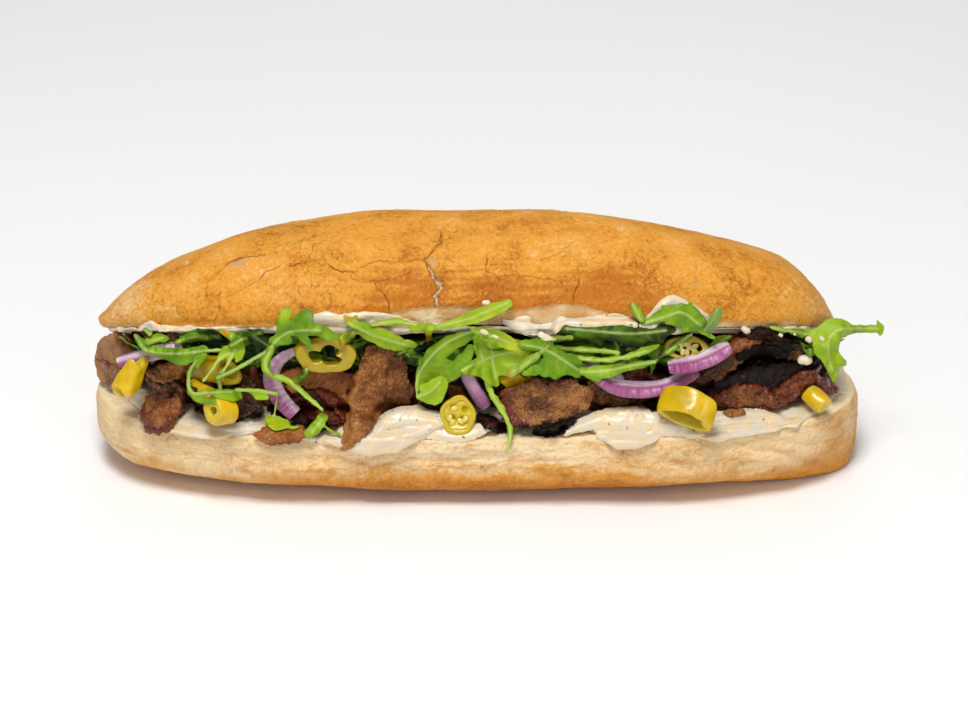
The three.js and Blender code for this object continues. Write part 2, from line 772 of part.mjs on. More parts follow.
layPepper("pepper_ring_06", { at: [-7.2, 15.8], radius: 7.1, long: 4.4, wall: 3, slant: 0, lift: -6 });
layPepper("pepper_ring_09", {
  at: [82.5, 18.8], radius: 11.6, long: 9, squash: 0.5, turn: -14, lean: -24, lift: -8,
});
layPepper("pepper_ring_10", {
  at: [134.6, 22], radius: 3.7, long: 11.6, turn: 118, lean: -70, wall: 2.4,
});

// Rocket, from the left end to the right
layLeaf("rocket_leaf_01", {
  rib: [[-134, 44], [-128, 39.6], [-117, 38.4], [-104.6, 40.4]], half: 2.8, lobes: 2,
  notch: 0.3, seed: 1,
});
layLeaf("rocket_leaf_03", {
  rib: [[-96, 47], [-99, 43.4], [-102, 38], [-104, 31.6]], half: 5, lobes: 3, notch: 0.75,
  tone: colours.rocketPale, seed: 3,
});
layLeaf("rocket_leaf_02", {
  rib: [[-111.7, 38.4], [-115, 30.6], [-107.8, 26.6], [-97, 28], [-84.6, 27.8]], half: 2,
  lobes: 3, notch: 0.5, stalk: 0.3, seed: 2,
});
layLeaf("rocket_leaf_04", {
  rib: [[-103, 33.8], [-94, 38], [-85, 43], [-78, 48], [-70, 49], [-60, 45.6]], half: 6.4,
  stalk: 0.42, lobes: 3, notch: 0.7, seed: 4,
});
layLeaf("rocket_leaf_05", {
  rib: [[-84, 44], [-87, 39], [-84.6, 33.6], [-75, 29], [-66.6, 21.4]], half: 1.9, lobes: 1,
  notch: 0.2, seed: 5,
});
layLeaf("rocket_leaf_06", {
  rib: [[-86.6, 15.2], [-83, 16.6], [-79.4, 18]], half: 2.6, lobes: 2, stalk: 0,
  tone: colours.rocketPale, seed: 6,
});
layLeaf("rocket_leaf_07", {
  rib: [[-68, 20], [-70, 15], [-72.4, 11]], half: 3, lobes: 1, notch: 0.2, stalk: 0,
  seed: 7,
});
layLeaf("rocket_leaf_08", {
  rib: [[-51.6, 52], [-43.4, 47.4], [-33.6, 44.4], [-22.6, 41.4]], half: 5.4, lobes: 4,
  notch: 0.5, stalk: 0.1, tone: colours.rocketPale, seed: 8,
});
layLeaf("rocket_leaf_09", {
  rib: [[-23, 23.8], [-21.6, 32.4], [-17.4, 38.4], [-10.4, 44], [-3.4, 48], [3, 49.6]],
  half: 5, lobes: 2, notch: 0.3, stalk: 0.05, seed: 9,
});
layLeaf("rocket_leaf_11", {
  rib: [[-22, 22.6], [-16, 26], [-11.6, 31]], half: 3.8, lobes: 1, notch: 0.2, stalk: 0,
  seed: 11,
});
layLeaf("rocket_leaf_12", {
  rib: [[-5.4, 34.4], [5.4, 37.2], [19, 41]], half: 8.4, lobes: 3, notch: 0.6, stalk: 0,
  tone: colours.rocketPale, seed: 12,
});
layLeaf("rocket_stalk_01", {
  rib: [[2.2, 32.4], [7, 24], [11.6, 15], [13.6, 11.8], [11.6, 1.8]], half: 1, lobes: 2,
  notch: 0.1, stalk: 0, tone: colours.rocketPale, seed: 13,
});
layLeaf("rocket_leaf_13", {
  rib: [[-17.4, 50.4], [1.4, 54], [13.4, 60.4]], half: 3.2, lobes: 1, notch: 0.1,
  stalk: 0.1, tone: colours.rocketPale, seed: 14,
});
layLeaf("rocket_leaf_14", {
  rib: [[-1, 51], [7, 48], [16.6, 42]], half: 4, lobes: 2, notch: 0.4, stalk: 0, seed: 15,
});
layLeaf("rocket_stalk_02", {
  rib: [[30, 42], [45, 39.6], [60, 39.8]], half: 1.3, lobes: 1, notch: 0.1, stalk: 0,
  tone: colours.rocketPale, seed: 16,
});
layLeaf("rocket_leaf_15", {
  rib: [[18.4, 43.4], [26.6, 38.4], [32.6, 34.6], [41, 32]], half: 6, lobes: 3, notch: 0.5,
  stalk: 0, seed: 17,
});
layLeaf("rocket_stalk_03", {
  rib: [[23.2, 38.6], [18, 35.4], [13.4, 32]], half: 1.6, lobes: 1, notch: 0.1, stalk: 0,
  tone: colours.rocketPale, seed: 18,
});
layLeaf("rocket_leaf_16", {
  rib: [[41, 34.4], [54, 32], [69.6, 36.4]], half: 2.8, lobes: 2, notch: 0.4, stalk: 0.1,
  seed: 19,
});
layLeaf("rocket_leaf_17", {
  rib: [[65, 52.2], [73.6, 53.8], [83.4, 51], [90, 48.4]], half: 6.6, lobes: 4, notch: 0.7,
  stalk: 0, seed: 20,
});
layLeaf("rocket_leaf_18", {
  rib: [[93.4, 57.6], [91, 52.4], [88.4, 46.6]], half: 3, lobes: 1, notch: 0.2, stalk: 0,
  seed: 21,
});
layLeaf("rocket_leaf_19", {
  rib: [[163.4, 50.6], [154, 49.8], [146, 46], [142, 39], [145.4, 29]], half: 6.4, lobes: 2,
  notch: 0.5, stalk: 0.3, base: 2, lift: 0, seed: 22,
});

laySauce("sauce_smear", { at: [79, 55.4], half: [12.6, 4.4], turn: 12, thick: 1.4, seed: 31 });

const sandwich = new THREE.Group();
sandwich.add(mesh("bread", bread, colours.crust, 0.75));
sandwich.add(mesh("sauce_lower", sauceLower, colours.sauce, 0.3));
sandwich.add(mesh("sauce_upper", sauceUpper, colours.sauce, 0.3));
sandwich.add(mesh("meat_bed", meatBed, colours.meat, 0.6));
sandwich.add(mesh("rocket_bed", rocketBed, colours.rocketDark, 0.5));
sandwich.add(filling);

export default sandwich;
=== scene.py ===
import math

import bmesh
import bpy
import numpy as np
from mathutils import Matrix, Vector


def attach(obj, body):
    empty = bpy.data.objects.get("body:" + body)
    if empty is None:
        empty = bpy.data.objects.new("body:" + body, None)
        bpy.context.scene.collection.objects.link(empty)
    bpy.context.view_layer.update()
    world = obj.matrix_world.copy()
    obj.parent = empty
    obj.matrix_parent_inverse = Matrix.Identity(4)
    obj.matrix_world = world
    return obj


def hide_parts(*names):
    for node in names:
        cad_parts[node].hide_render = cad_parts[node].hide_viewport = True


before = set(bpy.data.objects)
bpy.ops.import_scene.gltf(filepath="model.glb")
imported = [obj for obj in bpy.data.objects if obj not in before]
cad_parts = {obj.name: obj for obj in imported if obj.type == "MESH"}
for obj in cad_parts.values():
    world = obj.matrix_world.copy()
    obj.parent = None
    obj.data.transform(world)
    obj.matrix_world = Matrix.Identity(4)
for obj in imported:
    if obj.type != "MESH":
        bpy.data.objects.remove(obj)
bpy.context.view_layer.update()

# Beef doner sandwich: the looks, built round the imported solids.
# Shapes are worked out in millimetres and written to the meshes in metres.
mm = 0.001
body = "root"

# The roll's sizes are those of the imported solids
roll = {
    "halfLength": 154.5,
    "halfWidth": 45.0,
    "lowerHeight": 32.0,
    "upperHeight": 48.0,
    "upperHalf": 148.0,
    "upperShift": -3.6,
    "rim": 8.0,
    "openDegrees": 30.0,
    "squareness": 4.0,
    "cornerReach": 25.0,
    "cornerRise": 19.0,
    "fullerCorner": (20.0, 85.0, 0.35),                             # from, to and how much more it reaches
    "bluntEnds": ((-110.0, -150.0, 0.25), (108.0, 150.0, 1.25)),    # from, to and how much less it reaches
    "crownFalls": ((-80.0, -148.0, 0.32, 1.7), (-80.0, -148.0, 0.24, 9.0), (106.0, 146.0, 0.85, 4.0)),
}

# The photograph's frame: its size, the point that the camera looks at and the millimetres in a pixel there
photo = {"width": 968, "height": 726, "scale": 0.39, "left": 185.8, "top": 177.9}
lens = {"aim": (0.003, -0.0338, 0.0614), "distance": 1.2, "elevation": 30.0, "focal": 114.4, "sensor": 36.0}

openCos = math.cos(math.radians(roll["openDegrees"]))
openSin = math.sin(math.radians(roll["openDegrees"]))


# Small tools: noise, ramps and distances on arrays of points
def smooth(value, low, high):
    t = np.clip((value - low) / (high - low), 0, 1)
    return t * t * (3 - 2 * t)


def bell(distance, spread):
    return np.exp(-(distance / spread) ** 2)


def scramble(i, j, k, seed):
    n = (i * 374761393 + j * 668265263 + k * 1440662683 + seed * 974634777) & 0xFFFFFFFF
    n = ((n ^ (n >> 13)) * 1274126177) & 0xFFFFFFFF
    return n ^ (n >> 16)


gradients = np.array([(1, 1, 0), (-1, 1, 0), (1, -1, 0), (-1, -1, 0), (1, 0, 1), (-1, 0, 1), (1, 0, -1),
                      (-1, 0, -1), (0, 1, 1), (0, -1, 1), (0, 1, -1), (0, -1, -1)], float)


# Smooth noise from about -1 to 1. Size is the length of its waves, one number or one for each axis.
def noise(points, size, seed=0):
    p = points / np.asarray(size, float)
    cell = np.floor(p).astype(np.int64)
    part = p - cell
    fade = part ** 3 * (part * (part * 6 - 15) + 10)
    total = np.zeros(len(p))
    for corner in range(8):
        step = np.array([corner & 1, (corner >> 1) & 1, corner >> 2])
        at = cell + step
        slope = gradients[scramble(at[:, 0], at[:, 1], at[:, 2], seed) % 12]
        weight = np.prod(np.where(step, fade, 1 - fade), axis=1)
        total += weight * np.sum(slope * (part - step), axis=1)
    return total * 1.2


def layered(points, size, octaves, seed=0, gain=0.5):
    total = np.zeros(len(points))
    strength = 1.0
    length = np.asarray(size, float)
    for octave in range(octaves):
        total += strength * noise(points + 17.3 * octave, length, seed + octave)
        strength *= gain
        length = length * 0.5
    return total


# Distance to the nearest and second nearest of randomly placed seeds, one in each cell of this size
def cells(points, size, seed=0):
    p = points / np.asarray(size, float)
    cell = np.floor(p).astype(np.int64)
    nearest = np.full(len(p), 9.0)
    second = np.full(len(p), 9.0)
    for step in np.ndindex(3, 3, 3):
        at = cell + np.array(step) - 1
        mixed = scramble(at[:, 0], at[:, 1], at[:, 2], seed)
        place = np.stack([mixed & 1023, (mixed >> 10) & 1023, (mixed >> 20) & 1023], 1) / 1023
        distance = np.linalg.norm(at + place - p, axis=1)
        second = np.minimum(second, np.maximum(nearest, distance))
        nearest = np.minimum(nearest, distance)
    return nearest, second


# Distance in a plane from points to a line through several corners, and how far along it the nearest place is
def lineDistance(x, y, corners):
    best = np.full(len(x), 1e9)
    along = np.zeros(len(x))
    ends = np.asarray(corners, float)
    steps = np.linalg.norm(np.diff(ends, axis=0), axis=1)
    total = max(steps.sum(), 1e-9)
    before = 0.0
    for (ax, ay), (bx, by), length in zip(ends[:-1], ends[1:], steps):
        t = np.clip(((x - ax) * (bx - ax) + (y - ay) * (by - ay)) / max(length ** 2, 1e-9), 0, 1)
        distance = np.hypot(x - ax - t * (bx - ax), y - ay - t * (by - ay))
        closer = distance < best
        best = np.where(closer, distance, best)
        along = np.where(closer, (before + t * length) / total, along)
        before += length
    return best, along


# The distance from a line of corners, below 0 on its one side
def lineSide(x, y, corners):
    side = np.full(len(x), 1e9)
    for (startX, startY), (endX, endY) in zip(corners[:-1], corners[1:]):
        runX, runY = endX - startX, endY - startY
        share = np.clip(((x - startX) * runX + (y - startY) * runY) / (runX ** 2 + runY ** 2), 0, 1)
        away = np.hypot(x - startX - share * runX, y - startY - share * runY)
        turn = np.where(runX * (y - startY) - runY * (x - startX) < 0, -1.0, 1.0)
        side = np.where(away < np.abs(side), away * turn, side)
    return side


# Full strength along a line, fading to nothing towards its two ends
def taper(place, end=0.02, power=0.5):
    return np.sin(np.pi * np.clip(place, end, 1 - end)) ** power


# A smooth line through a few points, with this many places on it
def curveThrough(points, count):
    p = np.asarray(points, float)
    if len(p) == 2:
        t = np.linspace(0, 1, count)[:, None]
        return p[0] * (1 - t) + p[1] * t
    padded = np.vstack([2 * p[0] - p[1], p, 2 * p[-1] - p[-2]])
    fine = []
    for a, b, c, d in zip(padded[:-3], padded[1:-2], padded[2:-1], padded[3:]):
        t = np.linspace(0, 1, 24, endpoint=False)[:, None]
        fine.append(0.5 * (2 * b + (c - a) * t + (2 * a - 5 * b + 4 * c - d) * t ** 2
                           + (3 * b - a - 3 * c + d) * t ** 3))
    fine = np.vstack(fine + [p[-1:]])
    length = np.concatenate([[0], np.cumsum(np.linalg.norm(np.diff(fine, axis=0), axis=1))])
    places = np.linspace(0, length[-1], count)
    return np.stack([np.interp(places, length, fine[:, axis]) for axis in range(p.shape[1])], 1)


# The filling lies on the sloping face of the mouth: x along the roll, v up the face, w out of it
def fromFace(x, v, w):
    return np.stack([x, openSin * v - openCos * w, openCos * v + openSin * w], 1)


def toFace(points):
    x, y, z = points.T
    return np.stack([x, openSin * y + openCos * z, -openCos * y + openSin * z], 1)


def towardsMouth(normals):
    return normals @ np.array([0, -openCos, openSin])


# Noise over a grid of places on the mouth's face
def faceNoise(x, v, size, octaves, seed):
    return layered(np.stack([x.ravel(), v.ravel(), 0 * x.ravel()], 1), size, octaves, seed).reshape(x.shape)


# Where a pixel of the photograph falls on the mouth's face
def spot(pixels):
    p = np.asarray(pixels, float).reshape(-1, 2)
    return np.stack([photo["scale"] * p[:, 0] - photo["left"], photo["top"] - photo["scale"] * p[:, 1]], 1)


# Where points of the model fall in the photograph
def pixelsOf(points):
    aim = np.array(lens["aim"]) / mm
    tilt = math.radians(lens["elevation"])
    ahead = np.array([0, math.cos(tilt), -math.sin(tilt)])
    up = np.array([0, math.sin(tilt), math.cos(tilt)])
    away = points - (aim - ahead * lens["distance"] / mm)
    perPixel = lens["focal"] / lens["sensor"] * photo["width"]
    depth = away @ ahead
    return (photo["width"] / 2 + perPixel * away[:, 0] / depth,
            photo["height"] / 2 - perPixel * (away @ up) / depth)


# Meshes and pieces
def makePiece(name, points, faces, marks=None):
    mesh = bpy.data.meshes.new(name)
    mesh.from_pydata((np.asarray(points) * mm).tolist(), [], [list(face) for face in faces])
    mesh.validate()
    for key, values in (marks or {}).items():
        mesh.attributes.new(key, "FLOAT", "POINT").data.foreach_set("value", np.asarray(values, np.float32))
    mesh.polygons.foreach_set("use_smooth", np.ones(len(mesh.polygons), bool))
    mesh.update()
    piece = bpy.data.objects.new(name, mesh)
    bpy.context.scene.collection.objects.link(piece)
    return piece


# The points of a mesh, or the normals at them, as rows
def vertexRows(mesh, key="co"):
    rows = np.empty(len(mesh.vertices) * 3)
    mesh.vertices.foreach_get(key, rows)
    return rows.reshape(-1, 3)


def finishPiece(piece, slot, material, *nodes):
    piece.data.materials.clear()
    piece.data.materials.append(material)
    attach(piece, body)
    if nodes:
        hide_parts(*nodes)
    return piece


# Quads between rows of equally many points. Rows close on themselves when looped.
def gridFaces(rows, count, looped=True, joined=False, start=0):
    row = np.arange(rows if joined else rows - 1)[:, None]
    across = np.arange(count if looped else count - 1)[None, :]
    beside = (across + 1) % count
    above = (row + 1) % rows
    corners = [row * count + across, row * count + beside, above * count + beside, above * count + across]
    return np.stack([c.ravel() for c in corners], 1) + start


# Rows of points as one closed skin, with a middle point at both ends
def closedSkin(rows):
    count = len(rows[0])
    points = np.vstack(rows + [rows[0].mean(0)[None], rows[-1].mean(0)[None]])
    faces = gridFaces(len(rows), count).tolist()
    hub, crown = len(points) - 2, len(points) - 1
    last = (len(rows) - 1) * count
    for i in range(count):
        beside = (i + 1) % count
        faces.append([hub, beside, i])
        faces.append([crown, last + i, last + beside])
    return points, faces


# A small flattened ball: its half sizes, its rings, the points in one, and the share of its height they reach
def pebble(size, rings, around, last):
    turn = np.linspace(0, 2 * np.pi, around, endpoint=False)
    rows = []
    for lift in np.linspace(-last, last, rings):
        wide = math.sqrt(1 - lift ** 2)
        rows.append(np.stack([size[0] * wide * np.cos(turn), size[1] * wide * np.sin(turn),
                              np.full(around, size[2] * lift)], 1))
    return closedSkin(rows)


# Unit normals of a grid of quads, worked out at its points
def gridNormals(points, faces):
    quads = np.array([f for f in faces if len(f) == 4])
    corner = points[quads]
    normal = np.cross(corner[:, 2] - corner[:, 0], corner[:, 3] - corner[:, 1])
    total = np.zeros_like(points)
    for k in range(4):
        np.add.at(total, quads[:, k], normal)
    return total / np.maximum(np.linalg.norm(total, axis=1, keepdims=True), 1e-9)


# Materials
def paint(red, green, blue):
    def linear(value):
        share = value / 255
        return share / 12.92 if share <= 0.04045 else ((share + 0.055) / 1.055) ** 2.4
    return (linear(red), linear(green), linear(blue), 1)


def addNode(tree, kind, values=None, **settings):
    made = tree.nodes.new(kind)
    for key, value in settings.items():
        setattr(made, key, value)
    for socket, value in (values or {}).items():
        value = getattr(value, "socket", value)
        if isinstance(value, bpy.types.NodeSocket):
            tree.links.new(value, made.inputs[socket])
        else:
            made.inputs[socket].default_value = value
    return made


# A value in a node tree that sums can be done with: each step makes one node there
class Value:
    def __init__(self, socket):
        self.socket = socket
        self.tree = socket.id_data

    def step(self, way, first, second=0.5):
        return Value(addNode(self.tree, "ShaderNodeMath", {0: first, 1: second}, operation=way).outputs[0])

    def __add__(self, other):
        return self.step("ADD", self, other)

    def __sub__(self, other):
        return self.step("SUBTRACT", self, other)

    def __rsub__(self, other):
        return self.step("SUBTRACT", other, self)

    def __mul__(self, other):
        return self.step("MULTIPLY", self, other)

    def __rtruediv__(self, other):
        return self.step("DIVIDE", other, self)

    def atLeast(self, other):
        return self.step("MAXIMUM", self, other)

    def withoutSign(self):
        return self.step("ABSOLUTE", self)

    # A share that goes smoothly from 0 at the first limit to 1 at the second
    def between(self, low, high):
        limits = {0: self, 1: low, 2: high}
        ranged = addNode(self.tree, "ShaderNodeMapRange", limits, interpolation_type="SMOOTHSTEP")
        return Value(ranged.outputs[0])

    # Evenly from the first end, where this value is 0, to the second, where it is 1
    def spread(self, ends):
        return Value(addNode(self.tree, "ShaderNodeMapRange", {0: self, 3: ends[0], 4: ends[1]}).outputs[0])

    # Mixes two colours by this share, each a look's three numbers or the socket of a mix before
    def blend(self, first, second):
        ends = [paint(*colour) if isinstance(colour, tuple) else colour for colour in (first, second)]
        values = {0: self, 6: ends[0], 7: ends[1]}
        return addNode(self.tree, "ShaderNodeMix", values, data_type="RGBA").outputs[2]


def mark(tree, name):
    return Value(addNode(tree, "ShaderNodeAttribute", attribute_name=name).outputs["Fac"])


def millimetres(tree):
    place = addNode(tree, "ShaderNodeTexCoord").outputs["Object"]
    return addNode(tree, "ShaderNodeVectorMath", {0: place, 3: 1 / mm}, operation="SCALE").outputs[0]


# A group shared by every food: two sizes of grain as one height, and a slow change of tone
def makeGrainGroup():
    group = bpy.data.node_groups.new("foodGrain", "ShaderNodeTree")
    for name, value in (("Coarse size", 2.0), ("Fine size", 0.5), ("Fine share", 0.5), ("Tone size", 12.0)):
        socket = group.interface.new_socket(name=name, in_out="INPUT", socket_type="NodeSocketFloat")
        socket.default_value = value
    for name in ("Height", "Tone", "Speckle"):
        group.interface.new_socket(name=name, in_out="OUTPUT", socket_type="NodeSocketFloat")
    inside = addNode(group, "NodeGroupInput")
    place = millimetres(group)

    def wave(socket, detail):
        scale = 1.0 / Value(inside.outputs[socket])
        made = addNode(group, "ShaderNodeTexNoise", {"Vector": place, "Scale": scale, "Detail": detail})
        return made.outputs["Fac"]

    coarse, fine, tone = wave("Coarse size", 3.0), wave("Fine size", 2.0), wave("Tone size", 4.0)
    height = addNode(group, "ShaderNodeMix", {0: inside.outputs["Fine share"], 2: coarse, 3: fine})
    outside = addNode(group, "NodeGroupOutput")
    group.links.new(height.outputs[0], outside.inputs["Height"])
    group.links.new(tone, outside.inputs["Tone"])
    group.links.new(fine, outside.inputs["Speckle"])
    return group


grainGroup = makeGrainGroup()


def grain(tree, *sizes):
    made = addNode(tree, "ShaderNodeGroup", node_tree=grainGroup)
    for name, size in zip(("Coarse size", "Fine size", "Fine share", "Tone size"), sizes):
        made.inputs[name].default_value = size
    return [Value(made.outputs[name]) for name in ("Height", "Tone", "Speckle")]


# A material with a Principled shader: fixed values go on its own sockets
def newMaterial(name, fixed):
    material = bpy.data.materials.new(name)
    material.use_nodes = True
    tree = material.node_tree
    tree.nodes.clear()
    shader = addNode(tree, "ShaderNodeBsdfPrincipled", fixed)
    output = addNode(tree, "ShaderNodeOutputMaterial")
    tree.links.new(shader.outputs[0], output.inputs["Surface"])
    return material, tree, shader


def setSurface(shader, colour, roughness=None, height=None, depth=0.1):
    tree = shader.id_data
    tree.links.new(colour, shader.inputs["Base Color"])
    if roughness is not None:
        tree.links.new(roughness.socket, shader.inputs["Roughness"])
    if height is not None:
        bump = addNode(tree, "ShaderNodeBump", {"Height": height, "Distance": depth * mm, "Strength": 1.0})
        tree.links.new(bump.outputs[0], shader.inputs["Normal"])


# Baked crust, torn crumb, cracks and orange specks, told apart by marks on the mesh
crustLook = {
    "pale": (238, 202, 146), "golden": (226, 155, 48), "deep": (186, 106, 2), "crumb": (242, 218, 176),
    "crumbDeep": (206, 160, 104), "crack": (142, 76, 22), "torn": (206, 164, 116), "speck": (214, 122, 30),
    "glint": (255, 236, 204), "roughness": (0.46, 0.75),
    "hairline": (7.0, 0.016),  # size of the dry crust's cells in millimetres, and how wide their edges are
    "dots": (2.3, 0.2),        # spacing in millimetres of small baked dots, and their size as a share of it
    "glints": (3.4, 0.075),    # the same for small pale flecks
}


def makeCrust():
    look = crustLook
    material, tree, shader = newMaterial("bakedCrust", {
        "Subsurface Weight": 0.12, "Subsurface Radius": (1.0, 0.5, 0.25), "Subsurface Scale": 1.6 * mm,
        "Specular IOR Level": 0.28})
    height, tone, speckle = grain(tree, 1.5, 0.45, 0.45, 13.0)
    bakeMark, crumbMark = mark(tree, "bake"), mark(tree, "crumb")
    bake = (tone - 0.5) * 0.7 + bakeMark + (height - 0.5) * 1.5
    # Hairlines between cells of dry crust, in patches
    place = millimetres(tree)
    bent = addNode(tree, "ShaderNodeTexNoise", {"Vector": place, "Scale": 0.22, "Detail": 4.0})
    bentPlace = addNode(tree, "ShaderNodeVectorMath", {0: bent.outputs["Color"], 1: (16, 16, 16), 2: place},
                        operation="MULTIPLY_ADD").outputs[0]
    nets = addNode(tree, "ShaderNodeTexVoronoi", {"Vector": bentPlace, "Scale": 1 / look["hairline"][0]},
                   feature="DISTANCE_TO_EDGE").outputs["Distance"]
    hairlines = Value(nets).between(look["hairline"][1], 0.0) * tone.between(0.46, 0.6) * (1.0 - crumbMark)
    # Cracks: dark lines of a ragged width, the wide ones torn open over paler crumb
    ragged = (height - 0.5) * 3.6 + mark(tree, "crackSide").withoutSign()
    cracks = ragged.between(1.15, 0.35) * mark(tree, "crackNear")
    opening = ragged.between(0.95, 0.6) * mark(tree, "crackWide")

    def flecks(spacing, size):
        spots = addNode(tree, "ShaderNodeTexVoronoi", {"Vector": place, "Scale": 1 / spacing}).outputs
        return Value(spots["Distance"]).between(size, 0.5 * size) * Value(spots["Color"]).between(0.42, 0.55)

    baked = bake.between(0.0, 0.6).blend(look["pale"], look["golden"])
    baked = bake.between(0.55, 1.25).blend(baked, look["deep"])
    crumbTone = bakeMark * 0.8 + (tone - 0.5)
    crumb = crumbTone.between(0.1, 0.7).blend(look["crumb"], look["crumbDeep"])
    colour = crumbMark.blend(baked, crumb)
    colour = (flecks(*look["dots"]) * 0.5 + mark(tree, "speck") * 0.55).blend(colour, look["speck"])
    colour = (flecks(*look["glints"]) * 0.5).blend(colour, look["glint"])
    colour = mark(tree, "crack").blend(colour, look["crack"])
    pores = (speckle.between(0.36, 0.24) * 0.42).atLeast(hairlines * 0.3).atLeast(cracks * 0.62)
    colour = opening.blend(pores.blend(colour, look["crack"]), look["torn"])
    relief = height - hairlines * 0.4 - cracks * 0.9
    setSurface(shader, colour, crumbMark.spread(look["roughness"]), relief, 0.8)
    return material


crustMaterial = makeCrust()
print("materials for the roll")


# The roll's outline seen from above, as shares of its length and width, with more places along the front
def outline(count, frontWeight=2.0):
    angle = np.linspace(0, 2 * np.pi, 20001)
    along = np.sign(np.cos(angle)) * np.abs(np.cos(angle)) ** (2 / roll["squareness"])
    across = np.sin(angle)
    step = np.hypot(np.diff(along) * roll["halfLength"], np.diff(across) * roll["halfWidth"])
    step *= np.where(across[1:] < 0.1, frontWeight, 1)
    length = np.concatenate([[0], np.cumsum(step)])
    places = np.linspace(0, length[-1], count, endpoint=False)
    turn = np.interp(places, length, angle)
    return np.sign(np.cos(turn)) * np.abs(np.cos(turn)) ** (2 / roll["squareness"]), np.sin(turn)


def planShare(x):
    return np.sqrt(np.maximum(0, 1 - np.abs(x / roll["halfLength"]) ** roll["squareness"]))


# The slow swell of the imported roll, worked out the same way so that both keep one form
def solidHash(i, j, k, seed):
    mixed = np.sin(i * 127.1 + j * 311.7 + k * 74.7 + seed * 53.3) * 43758.5453
    return 2 * (mixed - np.floor(mixed)) - 1


def solidNoise(points, seed):
    cell = np.floor(points)
    part = points - cell
    fade = part * part * (3 - 2 * part)
    total = np.zeros(len(points))
    for corner in range(8):
        step = np.array([corner & 1, (corner >> 1) & 1, corner >> 2])
        at = cell + step
        total += np.prod(np.where(step, fade, 1 - fade), axis=1) * solidHash(*at.T, seed)
    return total


def swollen(points, amount, seed):
    swell = amount * solidNoise(points / np.array([34.0, 22.0, 18.0]), seed)
    return np.stack([points[:, 0] * (1 + swell / roll["halfLength"]),
                     points[:, 1] * (1 + swell / roll["halfWidth"]), points[:, 2]], 1)


def rollRow(along, across, half, inset, height, shift=0.0, ease=None):
    pull = inset * (ease(along * half) if ease else 1)
    return np.stack([shift + along * (half - 1.2 * pull), across * (roll["halfWidth"] - pull),
                     np.full(len(along), float(height))], 1)


def howFar(x, start, end):
    return np.clip((x - start) / (end - start), 0, 1)


def baseEase(x):
    start, end, more = roll["fullerCorner"]
    blunter = sum(less * howFar(x, a, b) for a, b, less in roll["bluntEnds"])
    return 1 + more * smooth(np.abs(x), start, end) - blunter


def crownShare(x):
    return 1 - sum(drop * howFar(x, a, b) ** power for a, b, drop, power in roll["crownFalls"])


# Thin creases where smooth noise passes through nothing, two sizes of them
def wrinkles(points, size, seed):
    bent = points + 1.6 * noise(points, 4.2, seed + 7)[:, None]
    small = noise(bent, np.array(size) * 0.45, seed + 1)
    return np.maximum(bell(noise(bent, size, seed), 0.07), 0.7 * bell(small, 0.08))


# Opens points of the upper half about the back edge of the cut
def opened(points):
    x, y, z = points.T
    y = y - roll["halfWidth"]
    return np.stack([x, roll["halfWidth"] + openCos * y + openSin * z,
                     roll["lowerHeight"] - openSin * y + openCos * z], 1)


lowerCrust = {
    "columns": 860,
    "wave": 0.55,
    "grain": 0.11,
    "flake": 1.25,             # how far the torn flakes along the base stand out
    "flakeSize": (26.0, 26.0, 3.4),
    "folds": [                 # creases, in the photograph's pixels, with depth and half width
        ([(690, 437), (722, 445), (762, 440), (806, 446), (846, 438)], 0.6, 1.3),
        ([(722, 450), (746, 447), (778, 452), (806, 462), (838, 466)], 1.0, 1.5),
        ([(668, 440), (676, 450), (692, 462), (700, 472)], 0.8, 1.1),
        ([(640, 452), (662, 462), (700, 470)], 0.5, 1.6),
        ([(112, 437), (140, 441), (170, 452), (205, 457)], 0.5, 1.8),
        ([(205, 462), (240, 455), (282, 462), (330, 458), (372, 463)], 0.8, 1.5),
        ([(377, 466), (420, 459), (452, 463), (505, 458), (560, 464)], 0.5, 1.3),
    ],
    "toast": [((578, 437), 3.4), ((600, 434), 3.0), ((466, 447), 3.4), ((486, 452), 3.0), ((552, 438), 1.2),
              ((702, 447), 3.2), ((636, 455), 4.6), ((682, 462), 4.0), ((740, 454), 3.4), ((232, 436), 3.4),
              ((268, 438), 2.6), ((128, 412), 3.4), ((790, 452), 4.0), ((816, 426), 2.4), ((520, 462), 4.0)],
    "orange": [(497, 435), (503, 438), (574, 432), (580, 434), (591, 430), (598, 436), (617, 425), (690, 431),
               (553, 442), (724, 466), (455, 448)],
}


